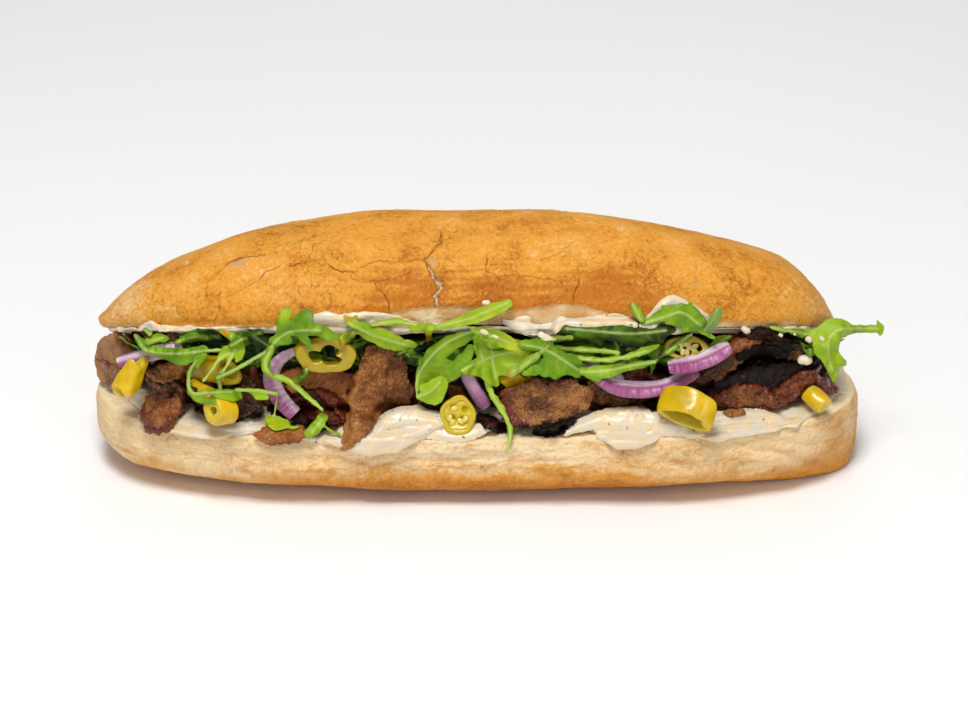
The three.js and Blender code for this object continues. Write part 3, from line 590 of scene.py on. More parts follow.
def makeLowerBread():
    part = lowerCrust
    along, across = outline(part["columns"])
    turns = np.linspace(0, np.pi / 2, 15)[1:]
    wall = np.linspace(roll["cornerRise"], 31.2, 42)[1:]
    foot = rollRow(along, across, roll["halfLength"], roll["cornerReach"], 0, 0, baseEase)
    reach, rise = roll["cornerReach"], roll["cornerRise"]
    profile = [(reach * (1 - math.sin(turn)), rise * (1 - math.cos(turn))) for turn in turns]
    profile += [(np.interp(z, [rise, 21.8, 28.2, 32], [0, 0.2, 0.5, 1.6]), z) for z in wall]
    profile += [(1.7, 31.7), (2.3, 32.0)]
    profile += [(inset, 32.0) for inset in np.linspace(2.9, 15, 20)]
    profile += [(inset, 32.0) for inset in np.linspace(17, 44.5, 10)]
    rows = [foot * share for share in np.linspace(0.02, 1, 9)]
    rows += [rollRow(along, across, roll["halfLength"], inset, z, 0, baseEase if z < rise else None)
             for inset, z in profile]
    points, faces = closedSkin([swollen(row, 1.3, 1) for row in rows])
    normals = gridNormals(points, faces)
    x, z = points[:, 0], points[:, 2]
    px, py = pixelsOf(points)
    front = smooth(-normals[:, 1], 0.1, 0.5)
    onWall = smooth(np.hypot(normals[:, 0], normals[:, 1]), 0.3, 0.8)
    onCut = smooth(z, 31.4, 31.9) * (normals[:, 2] > 0.3)
    warp = np.stack([0 * x, 0 * x, 3.0 * noise(points, 30, 5)], 1)
    torn = layered(points + warp, part["flakeSize"], 3, 11)
    flakes = smooth(torn, -0.12, 0.3)
    tornBand = bell(z - 14 - 4 * noise(points, 60, 12), 9) * onWall * (0.35 + 0.65 * bell(x + 30, 85) * front)
    pit = smooth(0.27 - cells(points, 3.1, 3)[0], 0, 0.18)
    height = part["wave"] * layered(points, (30, 24, 16), 3, 1)
    height += part["flake"] * (flakes - 0.6) * tornBand
    height += part["grain"] * (noise(points, 1.7, 7) + 0.7 * noise(points, 0.95, 8))
    wrinkle = wrinkles(points + warp, (13, 9, 4.5), 9)
    height -= 0.3 * wrinkle * onWall
    crease = np.zeros(len(points))
    for corners, depth, half in part["folds"]:
        distance, place = lineDistance(px, py, corners)
        groove = bell(distance * photo["scale"], half) * front * taper(place, 0.04, 0.4)
        height -= depth * groove
        height += 0.4 * depth * bell(distance * photo["scale"] - 2.2 * half, half) * front
        crease = np.maximum(crease, groove)
    # The torn, crumbly side above the bake line in the middle, and the cut itself
    paleSide = smooth(z + 3 * noise(points, 22, 15), 19, 25) * bell(x + 2, 72) * front * (1 - onCut)
    crumb = np.maximum(onCut, np.maximum(0.9 * paleSide, 0.35 * crease * (z > 14)))
    rough = layered(points + warp, (9, 9, 3.6), 3, 19)
    crumbly = 0.45 * rough * (1 - onCut) + 0.16 * onCut * layered(points, 2.6, 2, 20)
    height += crumbly * crumb - 0.3 * pit * crumb
    height -= 0.35 * onCut * smooth(0.42 - cells(points, 5.2, 23)[0], 0, 0.25)
    height *= np.where(z < 0.3, 0.0, 1.0)
    points = points + normals * height[:, None]
    points[:, 2] = np.maximum(points[:, 2], 0)
    toasted = 1 - front * (1 - smooth(px, 200, 400) * smooth(-px, -740, -590))
    toasted += 0.3 * front * smooth(px, 540, 640) * (1 - smooth(px, 770, 830))
    bake = 1.0 - smooth(z + 5 * noise(points, 34, 31) - 2 * (torn > 0), 8, 22) * 0.85
    bake *= 0.4 + 0.6 * toasted
    bake -= 0.2 * smooth(-px, -180, -110) * smooth(-py, -450, -420) * front
    # The raised flakes and the creases of the wrinkles are darker, and the bake drifts in slow patches.
    bake += 0.32 * (flakes - 0.55) * tornBand + 0.16 * noise(points, (22, 22, 9), 33) + 0.2 * wrinkle * onWall
    bake += 0.3 * front * smooth(x, 122, 144)
    tan = 0.5 * front * (1 - 0.8 * toasted) * smooth(z + 4 * noise(points, 16, 35), 3, 14) * onWall
    underside = smooth(1.5 - z, 0, 1.4)
    bake = np.clip(bake + 0.1 * underside - 0.25 * rough * paleSide, 0, 1.15) * (1 - 0.75 * onCut)
    speck = np.zeros(len(points))
    for spotX, spotY in part["orange"]:
        near = np.hypot(px - spotX, (py - spotY) * 1.3) * photo["scale"] + 0.5 * noise(points, 1.8, 43)
        speck = np.maximum(speck, 0.7 * smooth(1.5 - near, 0, 0.9) * front)
    patchy = layered(points + warp, (5.0, 5.0, 2.6), 3, 45)
    for (spotX, spotY), reach in part["toast"]:
        near = np.hypot(px - spotX, (py - spotY) * 2.0) * photo["scale"] / reach
        toast = 0.62 * smooth(1.2 - near + 1.1 * patchy, 0.1, 1.2) * front * (1 - 0.6 * pit)
        speck = np.maximum(speck, toast)
    crumb = np.maximum(crumb, tan)
    piece = makePiece("bread_lower", points, faces, {
        "bake": bake, "crumb": crumb, "crack": 0.2 * pit * crumb * (1 - onCut), "speck": speck})
    return finishPiece(piece, "bread", crustMaterial, "bread")


upperCrust = {
    "columns": 760,
    "domeRows": 110,
    "wave": 0.5,
    "grain": 0.13,
    "crustEdge": [(-149, 0.6), (-130, 0.8), (-100, 0.6), (-62, 0.8), (-46, 3.4), (-18, 8.2), (-6, 8.0),
                  (14, 6.6), (31, 8.8), (40, 9.0), (51, 5.6), (60, 4.6), (83, 1.8), (112, 2.2), (144, 1.2)],
    "cracks": [                # lines in the photograph's pixels, with depth and half width in millimetres
        ([(441, 236), (442, 243), (433, 250), (425, 258), (429, 267)], 0.5, 0.36),
        ([(429, 266), (434, 277), (440, 283), (442, 287), (436, 293), (434, 298), (437, 306)], 1.0, 0.95),
        ([(312, 246), (309, 257), (316, 262), (323, 266)], 0.3, 0.22),
        ([(330, 266), (340, 270), (347, 272), (354, 271)], 0.35, 0.34),
        ([(354, 271), (351, 276), (355, 281), (364, 283), (372, 281), (380, 290), (386, 297)], 0.3, 0.24),
        ([(386, 297), (389, 306), (391, 314)], 0.4, 0.32),
        ([(362, 266), (372, 262), (384, 261), (393, 263), (407, 260), (424, 258)], 0.3, 0.24),
        ([(363, 282), (378, 280), (391, 280), (403, 275), (409, 273)], 0.2, 0.18),
        ([(261, 277), (267, 272), (276, 269), (282, 266)], 0.3, 0.26),
        ([(294, 265), (299, 262), (304, 262)], 0.3, 0.34),
        ([(226, 266), (231, 260), (239, 258), (246, 255), (262, 255)], 0.5, 0.34),
        ([(229, 296), (240, 291), (252, 283), (261, 277)], 0.2, 0.18),
        ([(220, 306), (221, 314), (215, 319), (214, 327)], 0.3, 0.24),
        ([(376, 246), (378, 250), (382, 250)], 0.2, 0.22),
        ([(487, 257), (487, 271), (493, 272), (499, 278)], 0.35, 0.28),
        ([(579, 281), (577, 287), (575, 293), (573, 299)], 0.45, 0.34),
        ([(499, 278), (508, 275), (520, 275), (545, 279), (575, 281)], 0.2, 0.2),
        ([(540, 260), (552, 256), (563, 250), (570, 244)], 0.2, 0.2),
        ([(636, 262), (638, 268), (637, 275)], 0.2, 0.2),
        ([(330, 298), (331, 303)], 0.2, 0.26),
        ([(404, 250), (412, 247), (418, 248)], 0.2, 0.18),
        ([(178, 300), (176, 307), (179, 315)], 0.2, 0.18),
    ],
    "pale": [((238, 263), 3.8, 1.7), ((187, 262), 1.5, 0.9), ((434, 262), 2.0, 2.0), ((525, 212), 2.6, 1.0),
             ((697, 284), 1.3, 1.0)],
    "dimples": [((686, 279), 2.0, 0.8), ((741, 295), 2.4, 0.8), ((668, 247), 3.4, 0.7),
                ((369, 228), 1.8, 0.5)],
}


def makeUpperBread():
    part = upperCrust
    along, across = outline(part["columns"])
    angles = np.linspace(0, np.pi / 2, part["domeRows"])[1:-1]
    dome = roll["upperHeight"] - roll["rim"]
    rim = curveThrough([(3.4, 0.0), (1.02, 3.6), (0.0, 8.0)], 15)
    rows = [rollRow(along, across, roll["upperHalf"], inset, 0, roll["upperShift"])
            for inset in np.linspace(44.5, 5, 8)]
    rows += [rollRow(along, across, roll["upperHalf"], inset, z, roll["upperShift"]) for inset, z in rim]
    rows += [np.stack([roll["upperShift"] + along * roll["upperHalf"] * math.cos(a),
                       across * roll["halfWidth"] * math.cos(a),
                       np.full(len(along), roll["rim"] + dome * math.sin(a))], 1) for a in angles]
    local, faces = closedSkin(rows)
    lift = 1.5 * solidNoise(np.stack([local[:, 0] / 40, local[:, 1] / 26, np.full(len(local), 3.5)], 1), 2)
    local[:, 2] += np.where(local[:, 2] > 4, lift * local[:, 2] / roll["upperHeight"], 0)
    local[:, 2] *= crownShare(local[:, 0])
    local = swollen(local, 1.4, 3)
    points = opened(local)
    normals = gridNormals(points, faces)
    x, y, z = local.T
    px, py = pixelsOf(points)
    seen = smooth(towardsMouth(normals), 0.0, 0.35)
    front = smooth(-y, 5, 25)
    outer = smooth(z, 0.2, 1.2)
    # The crust ends above the cut in a torn edge, with pale crumb under it
    edge = np.interp(x, *np.array(part["crustEdge"]).T)
    edge += 0.6 * noise(np.stack([x, 0 * x, 0 * x], 1), 5, 61)
    edge = np.where(y < 0, edge, 1.0)
    crumb = smooth(edge - z, -0.3, 0.5)
    height = part["wave"] * layered(points, (34, 24, 24), 3, 51) * outer
    height -= 1.1 * smooth(edge - z, -0.2, 1.0) * smooth(edge, 1.5, 4) * front
    grainy = noise(points, 1.6, 52) + 0.7 * noise(points, 0.9, 53)
    height += part["grain"] * grainy * (1 + 0.8 * crumb)
    flow = np.stack([x, 0 * x, z + 2.5 * noise(points, (50, 20, 20), 54)], 1)
    streaks = layered(flow, (36, 1, 2.4), 2, 55)
    streaky = smooth(px, 290, 440) * smooth(-px, -700, -590) * smooth(py, 236, 284) * front
    height += 0.42 * streaks * streaky * (1 - crumb)
    height += 0.2 * layered(flow, (18, 6, 5), 2, 56) * (1 - streaky) * outer
    wrinkle = wrinkles(points, (9, 7, 6), 75) * smooth(noise(points, 24, 77), -0.45, 0.25) * outer
    height -= 0.26 * wrinkle
    nearest, second = cells(points + 2.2 * np.stack([noise(points, 6, s) for s in (57, 58, 59)], 1), 11, 60)
    crackle = smooth(0.05 - (second - nearest), 0, 0.04) * smooth(noise(points, 30, 62), -0.1, 0.35)
    height -= 0.08 * crackle * outer
    pits = smooth(0.2 - cells(points, 3.1, 63)[0], 0, 0.14) * smooth(noise(points, 26, 64), -0.3, 0.3)
    height -= 0.18 * pits * outer
    blister = smooth(0.3 - cells(points, 7.5, 65)[0], 0, 0.16) * smooth(noise(points, 34, 66), -0.2, 0.35)
    height += 0.22 * blister * outer
    pale = np.zeros(len(points))
    shakeX, shakeY = [2.1 * layered(points, 4.2, 3, seed) for seed in (67, 78)]
    crackSide, crackNear, crackWide = np.full(len(points), 9.0), np.zeros(len(points)), np.zeros(len(points))
    for corners, depth, half in part["cracks"]:
        side = lineSide(px + shakeX, py + shakeY, corners) * photo["scale"]
        groove = bell(side, max(half, 0.5)) * seen
        height -= 0.7 * depth * groove
        broken = 0.5 + 0.5 * smooth(noise(points, 3.6, 79), -0.3, 0.1)
        closer = np.abs(side / half) < np.abs(crackSide)
        crackSide = np.where(closer, side / half, crackSide)
        strength = (0.45 + 0.55 * smooth(half, 0.2, 0.34)) * (1 if half > 0.8 else broken)
        crackNear = np.where(closer, smooth(1.6 + half - np.abs(side), 0, 0.8) * seen * strength, crackNear)
        crackWide = np.where(closer, float(half > 0.8), crackWide)
    for (spotX, spotY), length, rise in part["pale"]:
        tilt = np.hypot((px - spotX) / length, (py - spotY + 0.3 * (px - spotX) * (length > 3)) / rise)
        patch = smooth(1.2 - tilt * photo["scale"] - 0.55 * layered(points, 2.6, 3, 68), 0, 0.5) * seen
        pale = np.maximum(pale, 0.8 * patch)
        height -= 0.25 * patch
    for (spotX, spotY), size, depth in part["dimples"]:
        distance = np.hypot(px - spotX, (py - spotY) * 1.6) * photo["scale"]
        height -= depth * bell(distance + 0.6 * noise(points, 2, 69), size) * seen
    points = points + normals * height[:, None]
    crumb = np.maximum(crumb, pale)
    bake = 0.66 + 0.24 * layered(points, (26, 20, 20), 3, 71) + 0.1 * grainy
    paleEnds = 0.12 * smooth(-px, -240, -110) + 0.24 * smooth(-px, -180, -105) + 0.24 * smooth(px, 765, 830)
    bake -= paleEnds * front
    # Darker down the front towards the lip: deeper bake, and painted shade where the crust turns down.
    bake += (0.56 * smooth(py, 240, 304) - 0.36 * streaks) * streaky
    # Darker along the fine creases.
    bake += 0.26 * wrinkle
    speck = 0.12 * blister + 0.5 * smooth(0.2 - cells(points, 3.6, 72)[0], 0, 0.08) * smooth(
        noise(points, 20, 73), -0.2, 0.3)
    # Crumb gets a high bake, so it takes the deeper crumb colour: on the torn crumb under the crust's edge
    # this is painted shade.
    bake = np.where(crumb > 0.5, 0.7 + 0.5 * noise(points, 9, 74), bake)
    piece = makePiece("bread_upper", points, faces, {
        "bake": np.clip(bake, 0, 1.2), "crumb": crumb, "crack": 0.3 * pits * outer, "speck": speck * outer,
        "crackSide": crackSide, "crackNear": crackNear, "crackWide": crackWide * crackNear})
    return finishPiece(piece, "bread", crustMaterial, "bread")


hingeCrumb = {"reach": 7.5, "rise": 7.2, "height": 33.6, "length": 214.0, "columns": 260, "around": 64}


# The uncut crumb and crust along the back, which still joins the halves
def makeHinge():
    part = hingeCrumb
    along = -np.cos(np.linspace(0, np.pi, part["columns"]))
    turn = np.linspace(0, 2 * np.pi, part["around"], endpoint=False)
    x = along * part["length"] / 2
    size = 0.35 + 0.65 * np.sqrt(1 - along ** 2)
    middle = roll["halfWidth"] * planShare(x) - part["reach"]
    rows = []
    for place, share, centre in zip(x, size, middle):
        rows.append(np.stack([np.full(len(turn), place), centre + np.cos(turn) * part["reach"] * share,
                              part["height"] + np.sin(turn) * part["rise"] * share], 1))
    points, faces = closedSkin(rows)
    normals = gridNormals(points, faces)
    height = 0.5 * layered(points, (16, 6, 4), 3, 81) + 0.2 * noise(points, 1.8, 82)
    points = points + normals * height[:, None]
    inside = smooth(-normals[:, 1], -0.2, 0.3)
    piece = makePiece("bread_hinge", points, faces, {
        "bake": 0.75 + 0.2 * noise(points, 9, 83), "crumb": inside, "crack": np.zeros(len(points)),
        "speck": np.zeros(len(points))})
    return finishPiece(piece, "bread", crustMaterial, "bread")


makeLowerBread()
makeUpperBread()
makeHinge()
print("the roll")


# What has been laid so far: the outermost depth over the mouth's face, so that later pieces lie on top
pile = {"left": -180.0, "low": -40.0, "cell": 0.5, "cells": (720, 300), "empty": -500.0}
frontDepth = np.full(pile["cells"], pile["empty"])


def pilePlace(x, v):
    i = np.clip(((x - pile["left"]) / pile["cell"]).astype(int), 1, frontDepth.shape[0] - 2)
    j = np.clip(((v - pile["low"]) / pile["cell"]).astype(int), 1, frontDepth.shape[1] - 2)
    return i, j


def addToPile(points):
    x, v, w = toFace(points).T
    i, j = pilePlace(x, v)
    np.maximum.at(frontDepth, (i, j), w)


def pileDepth(x, v):
    i, j = pilePlace(x, v)
    return np.maximum.reduce([frontDepth[i + down - 1, j + beside - 1] for down, beside in np.ndindex(3, 3)])


def isLaid(depth):
    return depth > pile["empty"] + 100


def neighbours(grid):
    padded = np.pad(grid, 1, mode="edge")
    return [padded[:-2, 1:-1], padded[2:, 1:-1], padded[1:-1, :-2], padded[1:-1, 2:]]


def blur(grid, times):
    for turn in range(times):
        before, after, left, right = neighbours(grid)
        grid = (before + after + left + right + 2 * grid) / 6
    return grid


def widened(grid):
    return np.maximum.reduce([grid, *neighbours(grid)])


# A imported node's corners, and its depth over the mouth's face as a smooth field between them
def nodePoints(node):
    return np.unique(np.round(vertexRows(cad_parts[node].data) / mm, 4), axis=0)


def nodeDepth(node, x, v):
    corners = toFace(nodePoints(node))
    flat = np.stack([np.ravel(x), np.ravel(v)], 1)
    away = np.linalg.norm(flat[:, None, :] - corners[None, :, :2], axis=2)
    weight = 1 / (away + 0.3) ** 3
    return ((weight @ corners[:, 2]) / weight.sum(1)).reshape(np.shape(x))


# Lines in the photograph's pixels as smooth ones on the mouth's face, with the half width at each place
def drawnLines(lines):
    drawn = []
    for pixels, halves in lines:
        corners = curveThrough(spot(pixels), max(2, 4 * (len(pixels) - 1) + 1))
        places = np.linspace(0, 1, len(corners))
        drawn.append((corners, np.interp(places, np.linspace(0, 1, len(halves)), halves)))
    return drawn


# The distance over a grid to a shape drawn as lines with a changing half width. Less than nothing is inside.
def drawField(lines, cell, merge=1.2, border=2.5):
    drawn = drawnLines(lines)
    everything = np.vstack([corners for corners, halves in drawn])
    reach = max(halves.max() for corners, halves in drawn) + border
    low, high = everything.min(0) - reach, everything.max(0) + reach
    x, v = np.meshgrid(np.arange(low[0], high[0], cell), np.arange(low[1], high[1], cell), indexing="ij")
    field = np.full(x.shape, 1e3)
    for corners, halves in drawn:
        own = np.full(x.shape, 1e3)
        for (ax, av), (bx, bv), first, last in zip(corners[:-1], corners[1:], halves[:-1], halves[1:]):
            length = max((bx - ax) ** 2 + (bv - av) ** 2, 1e-9)
            t = np.clip(((x - ax) * (bx - ax) + (v - av) * (bv - av)) / length, 0, 1)
            own = np.minimum(own, np.hypot(x - ax - t * (bx - ax), v - av - t * (bv - av)) - first
                             - t * (last - first))
        share = np.clip(0.5 + 0.5 * (field - own) / merge, 0, 1)
        field = np.where(field > 500, own, field * (1 - share) + own * share - merge * share * (1 - share))
    return x, v, field


def distanceTo(lines, x, v):
    best = np.full(x.size, 1e3)
    for corners, halves in drawnLines(lines):
        best = np.minimum(best, lineDistance(x.ravel(), v.ravel(), corners)[0])
    return best.reshape(x.shape)


# A closed thin piece from a drawn field: front and back faces over the inside, joined round the edge
def fieldPiece(name, x, v, field, front, back, marks):
    inside = (field[:-1, :-1] + field[1:, :-1] + field[:-1, 1:] + field[1:, 1:]) < 0
    ids = np.arange(x.size).reshape(x.shape)
    corners = [ids[:-1, :-1], ids[1:, :-1], ids[1:, 1:], ids[:-1, 1:]]
    quads = np.stack([corner[inside] for corner in corners], 1)
    used, flat = np.unique(quads, return_inverse=True)
    quads = flat.reshape(-1, 4)
    edges = np.concatenate([quads[:, [0, 1]], quads[:, [1, 2]], quads[:, [2, 3]], quads[:, [3, 0]]])
    size = len(used)
    forward = edges[:, 0].astype(np.int64) * size + edges[:, 1]
    reverse = edges[:, 1].astype(np.int64) * size + edges[:, 0]
    border = edges[~np.isin(forward, reverse)]
    slopeX, slopeV = np.gradient(field)
    steep = np.maximum(np.hypot(slopeX, slopeV), 1e-6)
    cell = x[1, 0] - x[0, 0]
    pull = np.zeros(size)
    pull[np.unique(border)] = 1
    shift = pull * np.clip(field.ravel()[used], -1.2 * cell, 1.2 * cell)
    px = x.ravel()[used] - shift * (slopeX / steep).ravel()[used]
    pv = v.ravel()[used] - shift * (slopeV / steep).ravel()[used]
    faceFront = fromFace(px, pv, front.ravel()[used])
    faceBack = fromFace(px, pv, np.minimum(back, front - 0.02).ravel()[used])
    sides = np.stack([border[:, 1], border[:, 0], border[:, 0] + size, border[:, 1] + size], 1)
    faces = np.concatenate([quads, quads[:, ::-1] + size, sides])
    doubled = {key: np.tile(values.ravel()[used], 2) for key, values in marks.items()}
    return makePiece(name, np.vstack([faceFront, faceBack]), faces, doubled), faceFront


# Sauce: creamy white with a soft gloss, thin places show what is below
sauceLook = {"thick": (220, 208, 186), "thin": (228, 203, 162), "roughness": (0.24, 0.42)}


def makeSauceMaterial():
    look = sauceLook
    material, tree, shader = newMaterial("garlicSauce", {
        "Subsurface Weight": 0.3, "Subsurface Radius": (1.0, 0.8, 0.5), "Subsurface Scale": 2.2 * mm,
        "Specular IOR Level": 0.4, "Coat Weight": 0.14, "Coat Roughness": 0.16})
    height, tone = grain(tree, 2.6, 0.9, 0.25, 7.0)[:2]
    colour = tone.between(0.35, 0.7).blend(look["thick"], look["thin"])
    setSurface(shader, colour, tone.spread(look["roughness"]), height, 0.3)
    return material


sauceMaterial = makeSauceMaterial()

lowerSauce = {
    "columns": 520,
    "rows": 64,
    "thickness": 2.4,
    "inset": 1.8,
    "edge": [(104, 392), (118, 403), (140, 418), (165, 431), (200, 437), (240, 436), (262, 433), (300, 437),
        (330, 443), (343, 447), (366, 453), (397, 449), (412, 443), (430, 438), (452, 434), (480, 434),
        (500, 429), (522, 426), (545, 430), (560, 428), (576, 427), (590, 433), (602, 439), (618, 447),
        (640, 445), (665, 437), (700, 438), (720, 441), (745, 437), (780, 431), (802, 427), (826, 413),
        (850, 396)],
    "mounds": [((380, 432), 15, 8, 3.0), ((440, 425), 14, 8, 1.6), ((625, 428), 18, 8, 1.6), ((700, 425), 18,
        8, 1.2), ((760, 418), 12, 6, 1.0), ((230, 425), 16, 8, 1.0)],
    "ridges": [([(352, 441), (362, 428), (378, 417), (400, 412), (432, 414)], 0.9, 1.1), ([(372, 450),
        (390, 442), (412, 436), (436, 430)], 0.8, 1.0), ([(590, 414), (612, 411), (640, 412), (668, 418)],
        0.7, 1.0), ([(606, 432), (640, 428), (676, 429), (706, 432)], 0.7, 1.1), ([(712, 432), (744, 431),
        (782, 428)], 0.7, 0.8), ([(728, 416), (748, 413), (768, 414)], 0.7, 1.0), ([(186, 425), (215, 430),
        (250, 424)], 0.6, 1.0)],
    "furrows": [([(366, 447), (384, 436), (410, 431), (436, 424)], 0.7, 0.9), ([(600, 424), (636, 420),
        (676, 423), (720, 424), (760, 423)], 0.7, 0.9), ([(416, 419), (446, 413), (470, 414)], 0.5, 0.8)],
}


# Ridges and furrows as one list, with the furrows' depths below nothing
def spoonMarks(plan):
    return plan["ridges"] + [(corners, -depth, half) for corners, depth, half in plan["furrows"]]


def makeLowerSauce():
    part = lowerSauce
    endAngle = 0.07 * np.pi
    angle = np.linspace(endAngle, np.pi - endAngle, part["columns"])[:, None]
    x = -(roll["halfLength"] - 1.5) * np.cos(angle)
    share = planShare(x)
    edge = -roll["halfWidth"] * share + part["inset"]
    edgePlaces = spot(part["edge"])
    v = np.interp(x, edgePlaces[:, 0], edgePlaces[:, 1])
    vEdge = openCos * roll["lowerHeight"] - openSin * roll["halfWidth"] * share
    over = np.where(v > vEdge, edge - (v - openCos * roll["lowerHeight"]) / openSin,
                    part["inset"] + (vEdge - v) / 0.7)
    line = np.stack([x.ravel(), 0 * x.ravel(), 0 * x.ravel()], 1)
    over = np.clip(over, -17, 8) + (0.7 * noise(line, 7, 91) + 0.4 * noise(line, 3, 92))[:, None]
    cutThrough = smooth(np.abs(x), 0.52 * hingeCrumb["length"], 0.64 * hingeCrumb["length"])
    back = roll["halfWidth"] * share - (16.4 * (1 - cutThrough) + 3 * cutThrough)
    room = back - edge + over
    t = np.linspace(0, 1, part["rows"])[None, :]
    along = room * t ** 1.7
    beyond = np.maximum(0, over - along)
    outside = np.minimum(1, beyond / 1.4)
    y = edge - over + along + beyond * 0.65 - outside * (part["inset"] + 0.6)
    z = roll["lowerHeight"] + 0.3 - 0.8 * np.maximum(0, beyond - 1.4)
    flat = np.stack([np.broadcast_to(x, y.shape).ravel(), y.ravel(), z.ravel()], 1)
    px, py = pixelsOf(flat)
    swell = 0.35 * layered(flat, (9, 6, 6), 3, 93) + 0.12 * noise(flat, 2.4, 96)
    for (spotX, spotY), wide, tall, rise in part["mounds"]:
        across, down = (px - spotX) * photo["scale"], (py - spotY) * photo["scale"]
        swell += rise * bell(across, wide) * bell(down * 2, tall)
    for corners, rise, half in spoonMarks(part):
        distance, place = lineDistance(px, py, corners)
        swell += rise * bell(distance * photo["scale"], half) * taper(place)
    full = np.sqrt(1 - (1 - np.clip(along / 2.4, 0, 1)) ** 2)
    thin = 0.5 + 0.5 * smooth(along, 1.5, 9)
    height = np.maximum(0.25, (part["thickness"] * thin + swell.reshape(y.shape)) * full)
    height = np.where(t > 0.98, 0.3, height)
    wide = np.broadcast_to(x, y.shape)
    above = np.stack([wide, y - outside * height * 0.5, z + height], 2)
    below = np.stack([wide, y, z], 2)
    rows = [swollen(np.vstack([above[i], below[i][::-1]]), 1.3, 1) for i in range(part["columns"])]
    points, faces = closedSkin(rows)
    piece = makePiece("sauce_lower_layer", points, faces)
    addToPile(points)
    return finishPiece(piece, "sauce", sauceMaterial, "sauce_lower")


upperSauce = {
    "columns": 560,
    "reach": 150.0,                    # half the length over which its waves run
    "profile": [(40, -0.3), (20, -0.3), (9, -0.3), (5.4, -0.1), (3.6, 0.5), (2.5, 0.9), (1.8, 0.5),
                (1.7, -0.3), (2.2, -1.2), (3.2, -1.8), (5, -2.2), (9, -2.2), (20, -2.2), (40, -2.2)],
    "bare": (88, 128, 0.9),            # from, to and how much less sauce there is
    "beads": [(-127, 5, 1.3), (-113, 4, 1.8), (-60, 9, 0.9), (-38, 16, 1.4), (26, 8, 2.2), (50, 10, 1.3),
              (71, 4, 1.0)],
}


def makeUpperSauce():
    part = upperSauce
    along, across = outline(part["columns"])
    fine = curveThrough(part["profile"], 46)
    farX, farY = along * part["reach"], across * roll["halfWidth"]
    bareFrom, bareTo, less = part["bare"]
    bare = less * smooth(farX, bareFrom, bareFrom + 8) * smooth(-farX, -bareTo, 8 - bareTo)
    fullness = 0.75 + 0.7 * layered(np.stack([farX, farY, 0 * along], 1), (9, 9, 9), 3, 105) - bare
    fullness = np.clip(fullness, 0.12, 1.5)
    rows = []
    for inset, height in fine:
        flat = np.stack([farX, farY, np.full(len(along), inset)], 1)
        wave = 1.3 * layered(flat, (11, 9, 12), 3, 101) + 0.5 + 2.2 * (1 - fullness) if inset < 9 else 0
        x = roll["upperShift"] + along * (roll["upperHalf"] - 1.2 * (inset + wave))
        y = np.minimum(across * (roll["halfWidth"] - inset - wave), roll["halfWidth"] - 16.5)
        drop = np.zeros(len(x))
        for at, spread, depth in part["beads"]:
            drop += depth * bell(x - at, spread)
        hang = (drop + 0.3 * layered(flat, (7, 5, 5), 2, 103)) * smooth(-height, 0.5, 2.0)
        hang *= smooth(12 - inset, 0, 7) * (across < 0.2)
        level = -0.3 + (height + 0.3) * (fullness if inset < 9 else 1)
        rows.append(np.stack([x, y, level - hang], 1))
    points, faces = closedSkin([opened(row) for row in rows][::-1])
    piece = makePiece("sauce_upper_layer", points, faces)
    addToPile(points)
    return finishPiece(piece, "sauce", sauceMaterial, "sauce_upper")


# Smears and drops of sauce lie on whatever is behind them: their lines are in the photograph's pixels
smears = {
    "sauce_smear_lip": ([([(646, 324), (655, 315), (663, 306), (672, 302), (684, 306), (694, 312),
        (706, 317)], (1.2, 2.0, 2.4, 2.6, 2.0, 2.2, 1.2)), ([(650, 321), (664, 314), (680, 312)],
        (2.4, 3.4, 2.2)), ([(640, 326), (652, 325)], (0.8, 1.6)), ([(700, 318), (712, 324)], (1.5, 0.7))],
        1.5),
    "sauce_lip_left": ([([(296, 331), (312, 322), (330, 318), (345, 324)], (0.8, 2.0, 2.6, 1.6)),
        ([(344, 320), (365, 319), (392, 321), (420, 326)], (2.2, 2.8, 2.4, 0.8))], 1.0),
    "sauce_lip_middle": ([([(504, 322), (520, 327), (536, 331), (552, 329), (562, 321)],
        (1.0, 2.2, 2.8, 2.6, 1.6)), ([(560, 321), (580, 323), (602, 321), (620, 320), (634, 325)],
        (1.2, 1.9, 2.2, 2.4, 1.2)), ([(518, 320), (527, 320)], (1.4, 1.6)), ([(540, 332), (544, 336)],
        (1.4, 0.8))], 0.8),
    "sauce_drop_left": ([([(180, 330), (188, 331), (195, 330)], (1.4, 2.4, 1.2)), ([(186, 332), (191, 337)],
        (2.2, 1.5))], 1.4),
    "sauce_blob_left": ([([(138, 328), (149, 326), (160, 329)], (1.0, 2.2, 1.0))], 1.3),
    "sauce_line_left": ([([(112, 331), (124, 329), (138, 330)], (0.3, 0.9, 0.4)), ([(158, 331), (174, 330),
        (196, 332)], (0.5, 1.0, 0.4)), ([(216, 331), (232, 332), (248, 331)], (0.3, 1.1, 0.4)), ([(262, 330),
        (276, 331), (292, 330)], (0.4, 0.8, 0.5))], 0.8),
}
smearDrops = {
    "sauce_drop_right": ([([(745, 329), (748, 331)], (1.2, 1.4))], 1.3),
    "sauce_dot_right": ([([(782, 335), (783, 335.6)], (0.7, 0.7))], 0.8),
    "sauce_dot_leaf": ([([(812, 339), (814, 340)], (1.1, 1.2))], 1.1),
    "sauce_dot_edge": ([([(825, 338), (826, 339)], (0.9, 0.9))], 0.9),
    "sauce_dot_small": ([([(797, 334), (797.6, 334.4)], (0.45, 0.45))], 0.6),
    "sauce_blob_right": ([([(806, 360), (811, 360)], (1.7, 2.2))], 1.7),
    "sauce_on_stalk": ([([(541, 335), (546, 338)], (1.3, 1.1)), ([(546, 338), (556, 339)], (1.0, 0.5))], 0.6),
    "sauce_on_leaf": ([([(482, 331), (487, 333)], (0.9, 0.7)), ([(493, 336), (498, 338)], (0.5, 0.4))], 0.3),
    "sauce_on_blade": ([([(484, 303), (488, 303)], (0.8, 0.9))], 0.6),
}


